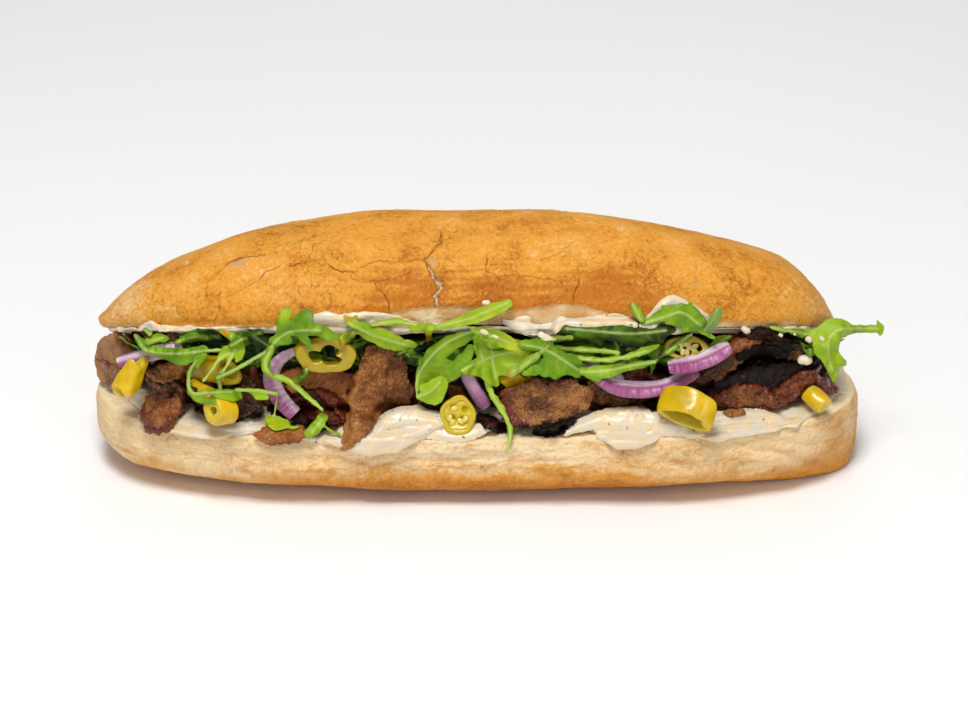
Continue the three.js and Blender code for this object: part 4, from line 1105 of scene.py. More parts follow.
def makeSmear(name, lines, rise, *nodes, bead=False):
    x, v, field = drawField(lines, 0.4, 1.0)
    field = field + 0.25 * faceNoise(x, v, 2.2, 1, 111)
    base = pileDepth(x, v)
    known = isLaid(base)
    base = np.where(known, base, base[known].mean() if known.any() else 60.0)
    base = np.full(x.shape, np.percentile(base[field < 0], 75)) if bead else blur(base, 4)
    swell = np.sqrt(np.clip(-field / 1.6, 0, 1)) * rise * (1 + 0.35 * faceNoise(x, v, 4, 1, 113))
    piece, front = fieldPiece(name, x, v, field, base + swell, base - 0.9, {})
    addToPile(front)
    return finishPiece(piece, "sauce", sauceMaterial, *nodes)


# Thick sauce between the filling and the lower edge: heaped shapes over the cut, with spoon marks
mounds = {
    "sauce_mound_middle": {"shape": [([(352, 451), (366, 446), (390, 440), (412, 433), (430, 427)],
            (0.8, 3.4, 4.6, 4.6, 2.6)), ([(374, 436), (390, 424), (410, 420), (438, 422)],
            (2.6, 5.2, 5.6, 3.6))], "rise": 4.4,
        "ridges": [([(366, 440), (378, 424), (394, 412), (424, 411)], 1.0, 2.0), ([(384, 447), (402, 438),
            (426, 434), (450, 428)], 0.6, 2.0), ([(430, 418), (452, 414), (470, 416)], 0.6, 1.2)],
        "furrows": [([(372, 450), (388, 436), (408, 428), (432, 424)], 0.5, 1.6), ([(404, 446), (430, 440),
            (458, 434)], 0.5, 1.2)]},
    "sauce_mound_low": {"shape": [([(424, 430), (446, 433), (470, 433), (494, 426)], (3.0, 4.0, 3.4, 1.0))],
        "rise": 1.4, "ridges": [([(430, 434), (456, 438), (484, 434)], 0.5, 1.0)], "furrows": []},
    "sauce_mound_right": {"shape": [([(566, 434), (586, 424), (612, 421), (644, 422), (680, 426), (716, 430),
            (748, 430), (776, 426), (806, 420)], (1.2, 3.6, 5.6, 5.2, 4.6, 4.0, 3.2, 2.6, 0.7)), ([(600, 436),
            (618, 440), (640, 438), (660, 432)], (1.4, 2.8, 2.6, 1.2)), ([(696, 424), (730, 418), (760, 415),
            (784, 418)], (2.4, 3.0, 2.6, 1.0))], "rise": 2.8,
        "ridges": [([(600, 415), (616, 411), (640, 411), (664, 416)], 0.6, 1.6), ([(612, 436), (630, 436),
            (652, 433)], 0.5, 1.6), ([(686, 434), (720, 437), (752, 433), (782, 430)], 1.0, 0.8),
            ([(716, 420), (742, 414), (766, 413)], 0.7, 1.0)],
        "furrows": [([(690, 428), (724, 428), (756, 425), (784, 424)], 1.3, 0.9)]},
    "sauce_mound_left": {"shape": [([(160, 418), (180, 425), (206, 430), (234, 430), (262, 430)],
            (0.8, 2.6, 3.0, 3.0, 1.2)), ([(300, 436), (322, 440), (344, 442)], (1.2, 2.4, 1.6))], "rise": 2.2,
        "ridges": [([(176, 424), (206, 430), (238, 428)], 0.6, 0.9)],
        "furrows": [([(184, 431), (214, 435), (250, 433)], 0.5, 0.7)]},
}


def makeMound(name, plan):
    x, v, field = drawField(plan["shape"], 0.4, 2.0)
    field = field + 0.5 * faceNoise(x, v, 5, 2, 121)
    share = planShare(x)
    lowV = openCos * roll["lowerHeight"] - openSin * roll["halfWidth"] * share
    lowW = openSin * roll["lowerHeight"] + openCos * roll["halfWidth"] * share
    base = lowW - 1.2 - 0.3 * np.maximum(v - lowV, -1) - 0.9 * np.maximum(lowV - v, 0)
    swell = plan["rise"] * (1 - np.exp(np.minimum(field, 0) / 2.4)) * (1 + 0.2 * faceNoise(x, v, 9, 2, 123))
    fade = smooth(-field, 0, 1.5)
    for corners, rise, half in spoonMarks(plan):
        distance, place = lineDistance(x.ravel(), v.ravel(), curveThrough(spot(corners), 24))
        swell = swell + (rise * bell(distance, half) * taper(place)).reshape(x.shape) * fade
    swell = swell + 0.12 * faceNoise(x, v, 2.2, 1, 125) * fade
    piece, front = fieldPiece(name, x, v, field, base + swell, base - 4, {})
    addToPile(front)
    return finishPiece(piece, "sauce", sauceMaterial)


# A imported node's mesh as a fine, even skin: a merged copy, rounded and rebuilt at this spacing
def refined(node, levels, spacing):
    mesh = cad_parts[node].data.copy()
    work = bmesh.new()
    work.from_mesh(mesh)
    bmesh.ops.remove_doubles(work, verts=work.verts, dist=0.01 * mm)
    bmesh.ops.join_triangles(work, faces=work.faces, angle_face_threshold=0.7, angle_shape_threshold=0.7)
    work.to_mesh(mesh)
    work.free()
    holder = bpy.data.objects.new("holder", mesh)
    bpy.context.scene.collection.objects.link(holder)
    rounded = holder.modifiers.new("rounded", "SUBSURF")
    rounded.levels = levels
    rounded.render_levels = levels
    even = holder.modifiers.new("even", "REMESH")
    even.mode = "VOXEL"
    even.voxel_size = spacing * mm
    shape = bpy.data.meshes.new_from_object(holder.evaluated_get(bpy.context.evaluated_depsgraph_get()))
    faces = [list(polygon.vertices) for polygon in shape.polygons]
    bpy.data.objects.remove(holder)
    return vertexRows(shape) / mm, vertexRows(shape, "normal"), faces


# Where points lie between a slice's middle, 0, and its rim, 1, and in which direction, over the mouth's face
def rimShare(points):
    x, v = toFace(points).T[:2]
    x, v = x - (x.max() + x.min()) / 2, v - (v.max() + v.min()) / 2
    reach = np.hypot(x, v)
    bins = 40
    turn = (np.arctan2(v, x) / (2 * np.pi) + 0.5) * bins
    longest = np.zeros(bins)
    np.maximum.at(longest, turn.astype(int) % bins, reach)
    longest = np.maximum(longest, 0.5)
    rim = np.interp(turn, np.arange(-1, bins + 2) + 0.5, np.concatenate([longest[-1:], longest, longest[:2]]))
    return np.clip(reach / rim, 0, 1), np.stack([x, v], 1) / np.maximum(reach, 1e-6)[:, None]


# Sliced beef: granular brown, with glossy red-brown edges and burnt rims, told apart by marks. The dark and
# near-black burnt colours also paint the shade deep in the mouth and in the gaps between the pieces.
meatLook = {
    "tan": (178, 120, 62), "brown": (112, 65, 29), "dark": (25, 12, 6), "red": (112, 32, 12),
    "orange": (182, 92, 24), "char": (8, 5, 4), "fat": (206, 160, 108), "roughness": (0.46, 0.22),
}


def makeMeatMaterial():
    look = meatLook
    material, tree, shader = newMaterial("slicedBeef", {
        "Subsurface Weight": 0.08, "Subsurface Radius": (1.0, 0.4, 0.2), "Subsurface Scale": 1.0 * mm,
        "Specular IOR Level": 0.15, "Coat Roughness": 0.16})
    height, tone, speckle = grain(tree, 0.62, 0.26, 0.5, 6.0)
    drift = (tone - 0.5) * 1.7
    grainDrift = (height - 0.5) * 2.9
    shade = mark(tree, "tone") + (drift - grainDrift)
    redness = (mark(tree, "red") + (drift + grainDrift) * 0.4).between(0.2, 1.0) * 0.9
    fat = speckle.between(0.64, 0.74) * shade.between(1.1, -0.1)
    charred = (mark(tree, "char") - grainDrift * 0.6).between(0.25, 0.75)
    colour = shade.between(0.0, 0.55).blend(look["tan"], look["brown"])
    colour = shade.between(0.5, 1.1).blend(colour, look["dark"])
    colour = (mark(tree, "orange") * 0.7).blend(colour, look["orange"])
    colour = fat.blend(redness.blend(colour, look["red"]), look["fat"])
    colour = charred.blend(colour, look["char"])
    dull = 1.0 - charred
    wet = redness.atLeast(tone.between(0.45, 0.6)) * dull
    coat = dull * (redness * 0.4 + 0.2)
    tree.links.new(coat.socket, shader.inputs["Coat Weight"])
    setSurface(shader, colour, wet.spread(look["roughness"]), height, 0.75)
    return material


meatMaterial = makeMeatMaterial()

# Each slice: how dark it is, how that changes across it, and which edges are red, burnt or orange. Tones near
# 1 and above are partly burnt meat and partly painted shade on slices far back in the mouth; the change
# across slice 09, darker to the right where it folds back, is painted shade.
meatPlan = {
    "meat_slice_01": {"tone": 0.24, "drift": (0.3, -0.1), "red": (0.2, 0, -1), "char": (0.0, 1, 0),
        "smooth": 0.18, "grow": 2.2},
    "meat_slice_02": {"tone": 0.45, "drift": (0.1, 0), "red": (0.55, 0.2, -1), "char": (0.3, -1, -1),
        "orange": 0.3},
    "meat_slice_03": {"tone": 0.56, "drift": (0.3, 0.3), "red": (1.5, -0.6, -0.8), "char": (1.5, 0.9, 0.5)},
    "meat_slice_04": {"tone": 0.9, "drift": (0, 0), "red": (0.3, 0, 1), "char": (0.9, 0, -1)},
    "meat_slice_05": {"tone": 0.16, "drift": (0.15, 0.1), "red": (0.9, 0.6, 0.3), "char": (0.6, 0.9, 0.4),
        "orange": 0.5},
    "meat_slice_06": {"tone": 0.98, "drift": (0, 0), "red": (0.8, 0.3, 0), "char": (0.9, 0, -1)},
    "meat_slice_07": {"tone": 0.38, "drift": (0.15, 0.15), "red": (1.1, 0.2, -1), "char": (0.9, 0.8, 0.5),
        "orange": 0.4},
    "meat_slice_08": {"tone": 0.9, "drift": (0, 0), "red": (0.1, 0, 1), "char": (0.8, 0, 0)},
    "meat_slice_09": {"tone": 0.42, "drift": (0.38, 0.05), "red": (0.35, 0.3, -0.5), "char": (0.2, 1, 0),
        "orange": 0.1, "tuck": ((368, 396), 10, 16, 9.0)},
    "meat_slice_10": {"tone": 0.68, "drift": (0.2, -0.1), "red": (0.3, 0, -1), "char": (0.7, 0.8, -0.5)},
    "meat_slice_11": {"tone": 0.42, "drift": (-0.1, 0.16), "red": (1.15, -0.75, -0.65),
        "char": (1.0, 0.2, -1)},
    "meat_slice_12": {"tone": 1.2, "drift": (0, 0.35), "red": (1.3, -0.1, -1), "char": (0.9, -0.5, 0.8)},
    "meat_slice_13": {"tone": 1.05, "drift": (0, 0), "grow": -0.8, "red": (0.2, 0, -1), "char": (0.9, 0, 1)},
    "meat_slice_14": {"tone": 0.66, "drift": (-0.2, 0), "red": (0.8, 0.7, 0.5), "char": (0.8, -1, -0.2)},
    "meat_slice_15": {"tone": 0.6, "drift": (0, 0), "red": (1.6, 1, -0.2), "char": (0.3, -1, 0),
        "orange": 0.3},
}
meatRelief = {"spacing": 0.42, "fold": 1.2, "lump": 0.5, "granule": 0.42, "granuleSize": 1.25, "ragged": 1.8}


def makeSlice(node, plan, seed):
    part = meatRelief
    points, normals, faces = refined(node, 2, part["spacing"])
    share, outward = rimShare(points)
    rim = smooth(share, 0.7, 1.0)
    soft = plan.get("smooth", 1.0)
    ragged = soft * part["ragged"] * (layered(points, 3.4, 3, 200 + seed) - 0.12) + plan.get("grow", 0.0)
    points = points + fromFace(outward[:, 0] * ragged * rim, outward[:, 1] * ragged * rim, 0 * rim)
    fold = layered(points, (13, 13, 13), 2, 220 + seed)
    nearest = cells(points + 0.5 * noise(points, 1.4, 5)[:, None], part["granuleSize"], 240 + seed)[0]
    lumps = layered(points, 3.2, 2, 260 + seed)
    height = part["fold"] * fold * (0.3 + 0.7 * soft) + soft * part["lump"] * lumps
    height += soft * part["granule"] * (0.55 - nearest) * 1.6 + 0.1 * soft * noise(points, 0.9, 280)
    outside = smooth(towardsMouth(normals), -0.2, 0.3)
    points = points + normals * (np.clip(height, -1.6, 0.9) * (0.35 + 0.65 * outside))[:, None]
    if "tuck" in plan:
        px, py = pixelsOf(points)
        (tuckX, tuckY), reachX, reachY, depth = plan["tuck"]
        behind = depth * smooth(px - tuckX, 0, reachX) * smooth(py - tuckY, 0, reachY)
        points = points - fromFace(0 * behind, 0 * behind, behind)
    unit = outward * share[:, None]

    def edgeMark(amount, dx, dv, inner):
        length = math.hypot(dx, dv) or 1
        side = 1.0 if dx == dv == 0 else smooth((unit @ np.array([dx, dv])) / length, 0.1, 0.75)
        return amount * smooth(share + 0.22 * noise(points, 4.5, 300 + seed), inner, 1.02) * side

    tone = plan["tone"] + unit @ np.array(plan["drift"]) + 0.32 * fold + 0.3 * soft * (nearest - 0.45)
    red = edgeMark(*plan["red"], 0.35) + 0.1 * noise(points, 6, 320)
    char = edgeMark(*plan["char"], 0.5) + 0.3 * soft * smooth(share, 0.9, 1.0) * smooth(
        noise(points, 5, 330 + seed), -0.1, 0.4)
    orange = np.full(len(points), plan.get("orange", 0.0)) + 0.3 * smooth(share, 0.85, 1)
    piece = makePiece("beef_" + node[-2:], points, faces, {
        "tone": tone, "red": np.clip(red, 0, 1.2), "char": np.clip(char, 0, 1.2),
        "orange": np.clip(orange, 0, 1)})
    addToPile(points)
    return finishPiece(piece, "char" if plan["tone"] > 0.85 else "meat", meatMaterial, node)


# Small scraps of beef that lie between the slices, as lines with half widths: tone, red, burnt colour and
# thickness, and for some a change of tone from left to right. The dark fill and gap scraps are painted shade
# in the gaps of the filling and under the lips, and the darker right of the middle flap is painted shade
# where it folds back.
scraps = {
    "beef_flap_middle": ([([(386, 352), (377, 366), (369, 384), (363, 404), (357, 424), (348, 443)],
        (2.6, 5.0, 7.6, 7.4, 5.4, 2.6)), ([(356, 394), (340, 397)], (2.4, 0.7)), ([(350, 432), (343, 449)],
        (2.2, 1.0))], (0.26, 0.12, 0.05), 1.3, 0.026),
    "beef_flap_left": ([([(142, 420), (156, 418), (170, 408), (178, 394)], (2.4, 4.6, 4.0, 1.6))],
        (0.3, 0.9, 0.1), 2.4),
    "beef_fold_left": ([([(172, 386), (186, 394), (198, 408)], (1.6, 4.0, 2.4))], (0.8, 0.3, 0.6), 2.6),
    "beef_flap_top": ([([(146, 372), (160, 372), (176, 370), (190, 366)], (2.4, 4.4, 3.8, 1.6))],
        (0.36, 0.25, 0.05), 2.2),
    "beef_scrap_left": ([([(84, 363), (93, 366), (108, 374)], (0.9, 2.0, 3.0))], (0.3, 0.3, 0.1), 1.2),
    "beef_fill_left": ([([(290, 403), (306, 408), (322, 412), (338, 420)], (3.2, 4.0, 4.0, 2.4))],
        (0.85, 1.0, 0.55), 2.0),
    "beef_fill_middle": ([([(300, 392), (316, 397), (332, 404)], (2.0, 2.6, 2.0))], (0.95, 0.45, 0.7), 1.2),
    "beef_fill_right": ([([(756, 345), (770, 341), (790, 346)], (3.0, 4.0, 2.4))], (1.0, 0.4, 1.0), 2.2),
    "beef_flap_high": ([([(724, 352), (738, 346), (754, 340), (768, 335)], (1.0, 3.6, 3.8, 1.8)),
        ([(734, 340), (748, 336)], (2.2, 2.4))], (0.36, 1.0, 0.05), 2.4, 0.02),
    "beef_fill_far": ([([(742, 357), (758, 354), (774, 352), (788, 355)], (1.6, 2.6, 2.6, 1.6))],
        (1.05, 0.2, 1.0), 1.6),
    "beef_scrap_burnt": ([([(479, 418), (488, 422), (500, 428), (510, 429)], (1.6, 2.8, 2.6, 1.2))],
        (0.9, 0.8, 0.85), 2.2),
    "beef_scrap_under": ([([(538, 433), (552, 432), (564, 427), (575, 419)], (1.6, 2.4, 2.2, 1.0))],
        (0.95, 0.3, 1.0), 2.0),
    "beef_scrap_right": ([([(648, 401), (656, 407), (662, 411)], (1.4, 2.0, 1.2))], (0.95, 0.2, 0.9), 1.8),
    "beef_scrap_middle": ([([(680, 384), (690, 376), (701, 368), (712, 366)], (1.8, 3.0, 3.0, 1.4))],
        (0.9, 0.15, 0.85), 2.2),
    "beef_scrap_low": ([([(726, 413), (736, 414), (746, 413)], (1.0, 1.8, 1.0))], (0.2, 0.2, 0.1), 1.4),
    "beef_fold_right": ([([(779, 404), (791, 394), (806, 383), (826, 371)], (2.4, 4.4, 3.8, 2.0))],
        (0.5, 1.0, 0.0), 3.4),
    "beef_flap_right": ([([(722, 400), (745, 396), (768, 397), (778, 404)], (2.4, 4.6, 4.2, 2.0))],
        (0.5, 0.8, 0.1), 2.6, -0.014),
    "beef_tip_right": ([([(824, 378), (832, 386), (840, 394)], (1.6, 2.6, 1.2))], (0.6, 1.2, 0.0), 2.0),
    "beef_gap_left": ([([(118, 339), (134, 337), (156, 337), (180, 337), (204, 336)],
        (1.6, 2.6, 2.6, 2.4, 1.6))], (0.8, 0.4, 0.5), 1.4),
    "beef_gap_right": ([([(744, 334), (762, 334), (784, 335), (802, 339)], (1.4, 2.6, 2.6, 1.4))],
        (0.95, 0.4, 0.8), 1.4),
    "beef_edge_left": ([([(268, 410), (278, 414), (292, 416), (306, 421)], (1.4, 2.4, 2.6, 1.4))],
        (0.9, 0.6, 0.8), 2.0),
    "beef_edge_middle": ([([(318, 392), (330, 399), (338, 408), (342, 418)], (1.6, 2.6, 2.6, 1.2))],
        (0.7, 1.0, 0.4), 2.0),
}


# A piece drawn on the mouth's face, laid flat about its middle and taken out of the scene, to be scattered
def asKind(piece):
    piece.data.transform(Matrix(((1, 0, 0), (0, openSin, openCos), (0, -openCos, openSin))).to_4x4())
    corners = np.array([corner.co for corner in piece.data.vertices])
    piece.data.transform(Matrix.Translation(-Vector((corners.max(0) + corners.min(0)) / 2)))
    bpy.context.scene.collection.objects.unlink(piece)
    return piece


def makeScrap(name, lines, look, thickness, drift=0.0, seed=0, kind=False):
    x, v, field = drawField(lines, 0.9 if kind else 0.4, 1.0)
    flat = np.stack([x.ravel(), v.ravel(), 0 * x.ravel()], 1)
    field = field + 0.8 * faceNoise(x, v, 2.6, 3, 400 + seed)
    if kind:
        base = 3 * faceNoise(x, v, 14, 2, 430 + seed)
    else:
        base = pileDepth(x, v)
        base = blur(np.where(isLaid(base), base, np.median(base[isLaid(base)])), 5)
    nearest = cells(flat, 2.2 if kind else 1.4, 410 + seed)[0].reshape(x.shape)
    bumps = 0.35 * faceNoise(x, v, 3, 2, 420 + seed) + 0.5 * (0.5 - nearest)
    swell = np.sqrt(np.clip(-field / 1.2, 0, 1)) * thickness * (0.75 + bumps)
    tone, red, char = look
    edge = np.exp(field / 1.2)
    marks = {"tone": tone + drift * (x - x.mean()) + 0.4 * (nearest - 0.5), "red": red * (0.6 + 0.5 * edge),
             "char": char * (0.6 + 0.5 * edge), "orange": np.full(x.shape, 0.15 if tone < 0.3 else 0.05)}
    piece, front = fieldPiece(name, x, v, field, base + swell, base - 0.8, marks)
    if kind:
        return asKind(piece)
    addToPile(front)
    return finishPiece(piece, "char" if char > 0.5 else "meat", meatMaterial)


# Pickled peppers: wet yellow skin, paler flesh at the cut
pepperLook = {"skin": (228, 186, 0), "deep": (198, 162, 0), "flesh": (214, 192, 46), "olive": (150, 130, 4),
              "seed": (228, 214, 146)}


def makePepperMaterial():
    look = pepperLook
    material, tree, shader = newMaterial("pickledPepper", {
        "Subsurface Weight": 0.35, "Subsurface Radius": (1.0, 0.7, 0.15), "Subsurface Scale": 1.6 * mm,
        "Roughness": 0.3, "Specular IOR Level": 0.4, "Coat Weight": 0.2, "Coat Roughness": 0.14})
    height, tone = grain(tree, 3.0, 0.7, 0.2, 8.0)[:2]
    skin = tone.between(0.35, 0.7).blend(look["skin"], look["deep"])
    colour = mark(tree, "olive").blend(mark(tree, "flesh").blend(skin, look["flesh"]), look["olive"])
    setSurface(shader, colour, None, height, 0.1)
    return material


pepperMaterial = makePepperMaterial()

# What a ring has where its own plan doesn't say: wall, evenness, ribs inside, paleness and turns in degrees
pepperForm = {
    "around": 110, "wall": 2.0, "squash": 1.0, "slant": 0.15, "round": 1.0, "pinch": 0.0, "ribbed": 0.2,
    "taper": 0.0, "olive": 0.0, "filled": False, "seeds": 0, "tip": 0, "lean": 0, "turn": 0,
}
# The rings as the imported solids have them: place, sizes in millimetres and turns in degrees
peppers = {
    "pepper_ring_01": {"at": (-136, 31.2), "radius": 5.6, "long": 12.5, "turn": 62, "lean": 96, "wall": 3.4,
        "pinch": 1.3, "taper": 0.3},
    "pepper_ring_02": {"at": (-104, 34), "radius": 5.4, "long": 17, "turn": -8, "lean": 74, "wall": 2.2,
        "olive": 0.6, "pinch": 0.5},
    "pepper_ring_03": {"at": (-106.6, 24), "radius": 3.6, "long": 11, "turn": -25, "lean": 80, "wall": 1.6,
        "olive": 0.3},
    "pepper_ring_04": {"at": (-99.4, 18), "radius": 5.9, "long": 8.6, "turn": 184, "lean": 40, "wall": 3.9,
        "round": 0.3, "slant": 0.04},
    "pepper_ring_05": {"at": (-59, 40), "radius": 12.2, "long": 8, "squash": 0.56, "lean": 12, "tip": 16,
        "wall": 5.3, "olive": 0.74, "pinch": 0.4, "ribbed": 0.42},
    "pepper_ring_06": {"at": (-7.2, 15.8), "radius": 7.3, "long": 4.4, "wall": 1.7, "slant": 0,
        "squash": 1.06, "filled": True, "olive": 0.34},
    "pepper_ring_07": {"at": (15, 31), "radius": 4, "long": 9, "turn": 20, "lean": 70, "wall": 1.6,
        "olive": 0.3},
    "pepper_ring_08": {"at": (82, 42.2), "radius": 9, "long": 4.4, "squash": 0.5, "wall": 2.6, "olive": 0.6,
        "seeds": 9, "ribbed": 0.5},
    "pepper_ring_09": {"at": (82.5, 18.8), "radius": 12, "long": 10.5, "squash": 0.42, "turn": -14,
        "lean": -24, "tip": 76, "pinch": 0.3, "wall": 2.6, "olive": 0.2},
    "pepper_ring_10": {"at": (134.6, 22), "radius": 3.9, "long": 9.6, "turn": 122, "lean": -48, "wall": 3.4,
        "round": 0.2, "slant": 0.02, "olive": 0.2},
}


def mouthDepth(x, v):
    share = max(float(planShare(np.array([x]))[0]), 0.12)
    height, half = roll["lowerHeight"], roll["halfWidth"]
    lowV, lowW = openCos * height - openSin * half * share, openSin * height + openCos * half * share
    lipV, lipW = openSin * half + openCos * height, openSin * height - openCos * half + half * (1 + share)
    return lowW + (lipW - lowW) * min(max((v - lowV) / (lipV - lowV), -0.3), 1.4)


def turned(points, axis, degrees):
    return points @ np.array(Matrix.Rotation(math.radians(degrees), 3, axis)).T


# The ring that keeps its seeds: middles and half sizes of its hollows, then its seeds and their turns
pepperChambers = {
    "hollows": [(-2.7, -1.6, 1.9, 2.1), (2.0, -1.9, 2.1, 1.9), (-1.5, 2.6, 1.6, 1.3), (2.6, 2.2, 1.3, 1.2)],
    "seeds": [(-3.3, -1.2, 1.3), (-2.2, -2.8, 0.7), (1.1, -2.3, 2.4), (2.9, -1.5, 1.2), (-1.4, 2.7, 0.2)],
}


def makePepper(node):
    plan = {**pepperForm, **peppers[node]}
    radius, long, wall, squash = plan["radius"], plan["long"], plan["wall"], plan["squash"]
    slant, pinch, around = plan["slant"], plan["pinch"], plan["around"]
    inner = radius - wall
    theta = np.linspace(0, 2 * np.pi, around, endpoint=False)
    knots = solidHash(np.arange(15) % 14, 1, 2, 6)
    uneven = 0.055 * np.interp(theta, np.linspace(0, 2 * np.pi, 15), knots)
    uneven += 0.02 * np.sin(5 * theta + radius)
    wobble = 1 + plan["round"] * uneven
    profile = curveThrough([(0.97 * radius, 0.47 * long), (radius, 0.3 * long), (radius, -0.05 * long),
                            (0.985 * radius, -0.34 * long), (0.93 * radius, -0.48 * long),
                            (0.5 * (radius + inner), -0.5 * long), (inner + 0.15, -0.47 * long),
                            (inner, -0.3 * long), (inner, 0.0), (inner, 0.3 * long),
                            (inner + 0.1, 0.44 * long), (0.5 * (radius + inner), 0.5 * long),
                            (0.93 * radius, 0.5 * long), (0.97 * radius, 0.47 * long)], 60)[:-1]
    rows, flesh = [], []
    for size, height in profile:
        inside = smooth(radius - 0.35 * wall - size, 0, 0.3 * wall)
        ribs = 1 - plan["ribbed"] * inside * (0.5 + 0.5 * np.cos(3 * theta + radius)) ** 4
        ring = size * wobble * ribs * (1 - plan["taper"] * (0.5 + height / long))
        dent = pinch * bell(np.abs(np.angle(np.exp(1j * (theta - 1.9)))), 0.35) * wall
        wave = slant * long * np.cos(theta + 1)
        bent = 0.12 * long * np.sin(2 * theta + 2) * pinch
        rows.append(np.stack([np.cos(theta) * ring, np.sin(theta) * (ring - dent) * squash,
                              height + wave + bent], 1))
        cut = abs(height) > 0.4 * long or inside > 0.5
        flesh.append(np.full(around, 0.25 + 0.6 * inside if cut else 0.0))
    points = np.vstack(rows)
    faces = gridFaces(len(rows), around, True, True)[:, ::-1].tolist()
    marks = {"flesh": np.concatenate(flesh), "olive": np.full(len(points), plan["olive"])}
    seeds = []
    if plan["filled"]:
        # The seed chambers: a pale wall across the ring, with hollows that hold flat seeds
        disc = []
        for share in np.linspace(0.02, 1.0, 16):
            x, y = np.cos(theta) * (inner + 0.4) * share, np.sin(theta) * (inner + 0.4) * share
            hollow = np.zeros(around)
            for midX, midY, wide, tall in pepperChambers["hollows"]:
                hollow += bell(np.hypot((x - midX) / wide, (y - midY) / tall), 1.0)
            disc.append(np.stack([x, y, 0.32 * long - 2.2 * np.clip(hollow, 0, 1)], 1))
        under = [row * np.array([1, 1, 0]) + np.array([0, 0, -0.4 * long]) for row in disc[::-1]]
        extra, extraFaces = closedSkin(disc + under)
        faces += [[corner + len(points) for corner in face] for face in extraFaces]
        points = np.vstack([points, extra])
        # The chamber wall is paler towards its top and more olive down in the hollows.
        pale = 0.55 + 0.4 * smooth(extra[:, 2], -0.1 * long, 0.3 * long)
        marks["flesh"] = np.concatenate([marks["flesh"], pale])
        low = smooth(0.32 * long - extra[:, 2], 0.2, 1.6) * (extra[:, 2] > -0.35 * long)
        marks["olive"] = np.concatenate([marks["olive"], 0.1 + 0.5 * low])
        seeds = list(pepperChambers["seeds"])
    for index in range(plan["seeds"]):
        angle = 2.4 * index
        seeds.append((0.6 * inner * math.cos(angle) * (0.4 + 0.6 * (index % 3) / 2),
                      0.6 * inner * squash * math.sin(angle), angle))

    points += 0.35 * np.stack([noise(points, 5, seed) for seed in (581, 582, 583)], 1)

    def place(local):
        for axis, key in (("X", "tip"), ("Y", "lean"), ("Z", "turn")):
            local = turned(local, axis, plan[key])
        x, v = plan["at"]
        slope = (mouthDepth(x + 5, v) - mouthDepth(x - 5, v)) / 10
        return turned(local, "Y", -math.degrees(math.atan(slope))) + np.array([x, v, 0])

    points = place(points)
    solidFace = toFace(nodePoints(node))
    middle = (solidFace[:, 2].max() + solidFace[:, 2].min()) / 2
    depth = middle - (points[:, 2].max() + points[:, 2].min()) / 2
    placed = fromFace(points[:, 0], points[:, 1], points[:, 2] + depth)
    piece = makePiece("pepper_" + node[-2:], placed, faces, marks)
    addToPile(placed)
    for x, y, angle in seeds:
        spotSeed = place(seedShape(x, y, 0.12 * long, angle))
        seedPoints.append(fromFace(spotSeed[:, 0], spotSeed[:, 1], spotSeed[:, 2] + depth))
    return finishPiece(piece, "pepper", pepperMaterial, node)


seedPoints = []
seedForm = ((1.5, 1.1, 0.45), 7, 12, 0.98)


def seedShape(x, y, z, angle):
    points = turned(pebble(*seedForm)[0], "X", 20 * math.sin(3 * angle))
    return turned(points, "Z", math.degrees(angle)) + np.array([x, y, z])


def makeSeeds():
    material, tree, shader = newMaterial("pepperSeed", {
        "Roughness": 0.3, "Subsurface Weight": 0.2, "Subsurface Scale": 1.0 * mm, "Coat Weight": 0.3})
    height, tone = grain(tree, 1.0, 0.4, 0.4, 3.0)[:2]
    setSurface(shader, tone.blend(pepperLook["seed"], pepperLook["flesh"]), None, height, 0.05)
    oneSeed = pebble(*seedForm)[1]
    faces, start = [], 0
    for points in seedPoints:
        faces += [[corner + start for corner in face] for face in oneSeed]
        start += len(points)
    piece = makePiece("pepper_seeds", np.vstack(seedPoints), faces)
    return finishPiece(piece, "pepper", material)


# Red onion: purple skin side with fine lines, lilac white at the cut
onionLook = {"skin": (168, 86, 138), "line": (142, 60, 112), "cut": (226, 208, 214), "inner": (208, 174, 194)}


def makeOnionMaterial():
    look = onionLook
    material, tree, shader = newMaterial("redOnion", {
        "Subsurface Weight": 0.35, "Subsurface Radius": (1.0, 0.6, 0.8), "Subsurface Scale": 1.4 * mm,
        "Roughness": 0.36, "Specular IOR Level": 0.4, "Coat Weight": 0.12, "Coat Roughness": 0.2})
    height, tone = grain(tree, 2.0, 0.6, 0.3, 6.0)[:2]
    along, across = mark(tree, "along"), mark(tree, "across")
    strip = addNode(tree, "ShaderNodeCombineXYZ", {0: along, 1: across * 0.12, 2: 0.0})
    noiseValues = {"Vector": strip.outputs[0], "Scale": 1.1, "Detail": 3.0}
    stripes = Value(addNode(tree, "ShaderNodeTexNoise", noiseValues).outputs["Fac"])
    skin = stripes.between(0.38, 0.62).blend(look["line"], look["skin"])
    skin = (mark(tree, "pale") * 0.8).blend(skin, look["inner"])
    cut = tone.between(0.35, 0.65).blend(look["cut"], look["inner"])
    setSurface(shader, mark(tree, "skin").blend(cut, skin), None, stripes * 0.7 + height * 0.3, 0.25)
    return material


onionMaterial = makeOnionMaterial()
onionForm = {"stations": 100, "around": 48, "thickness": 2.5}

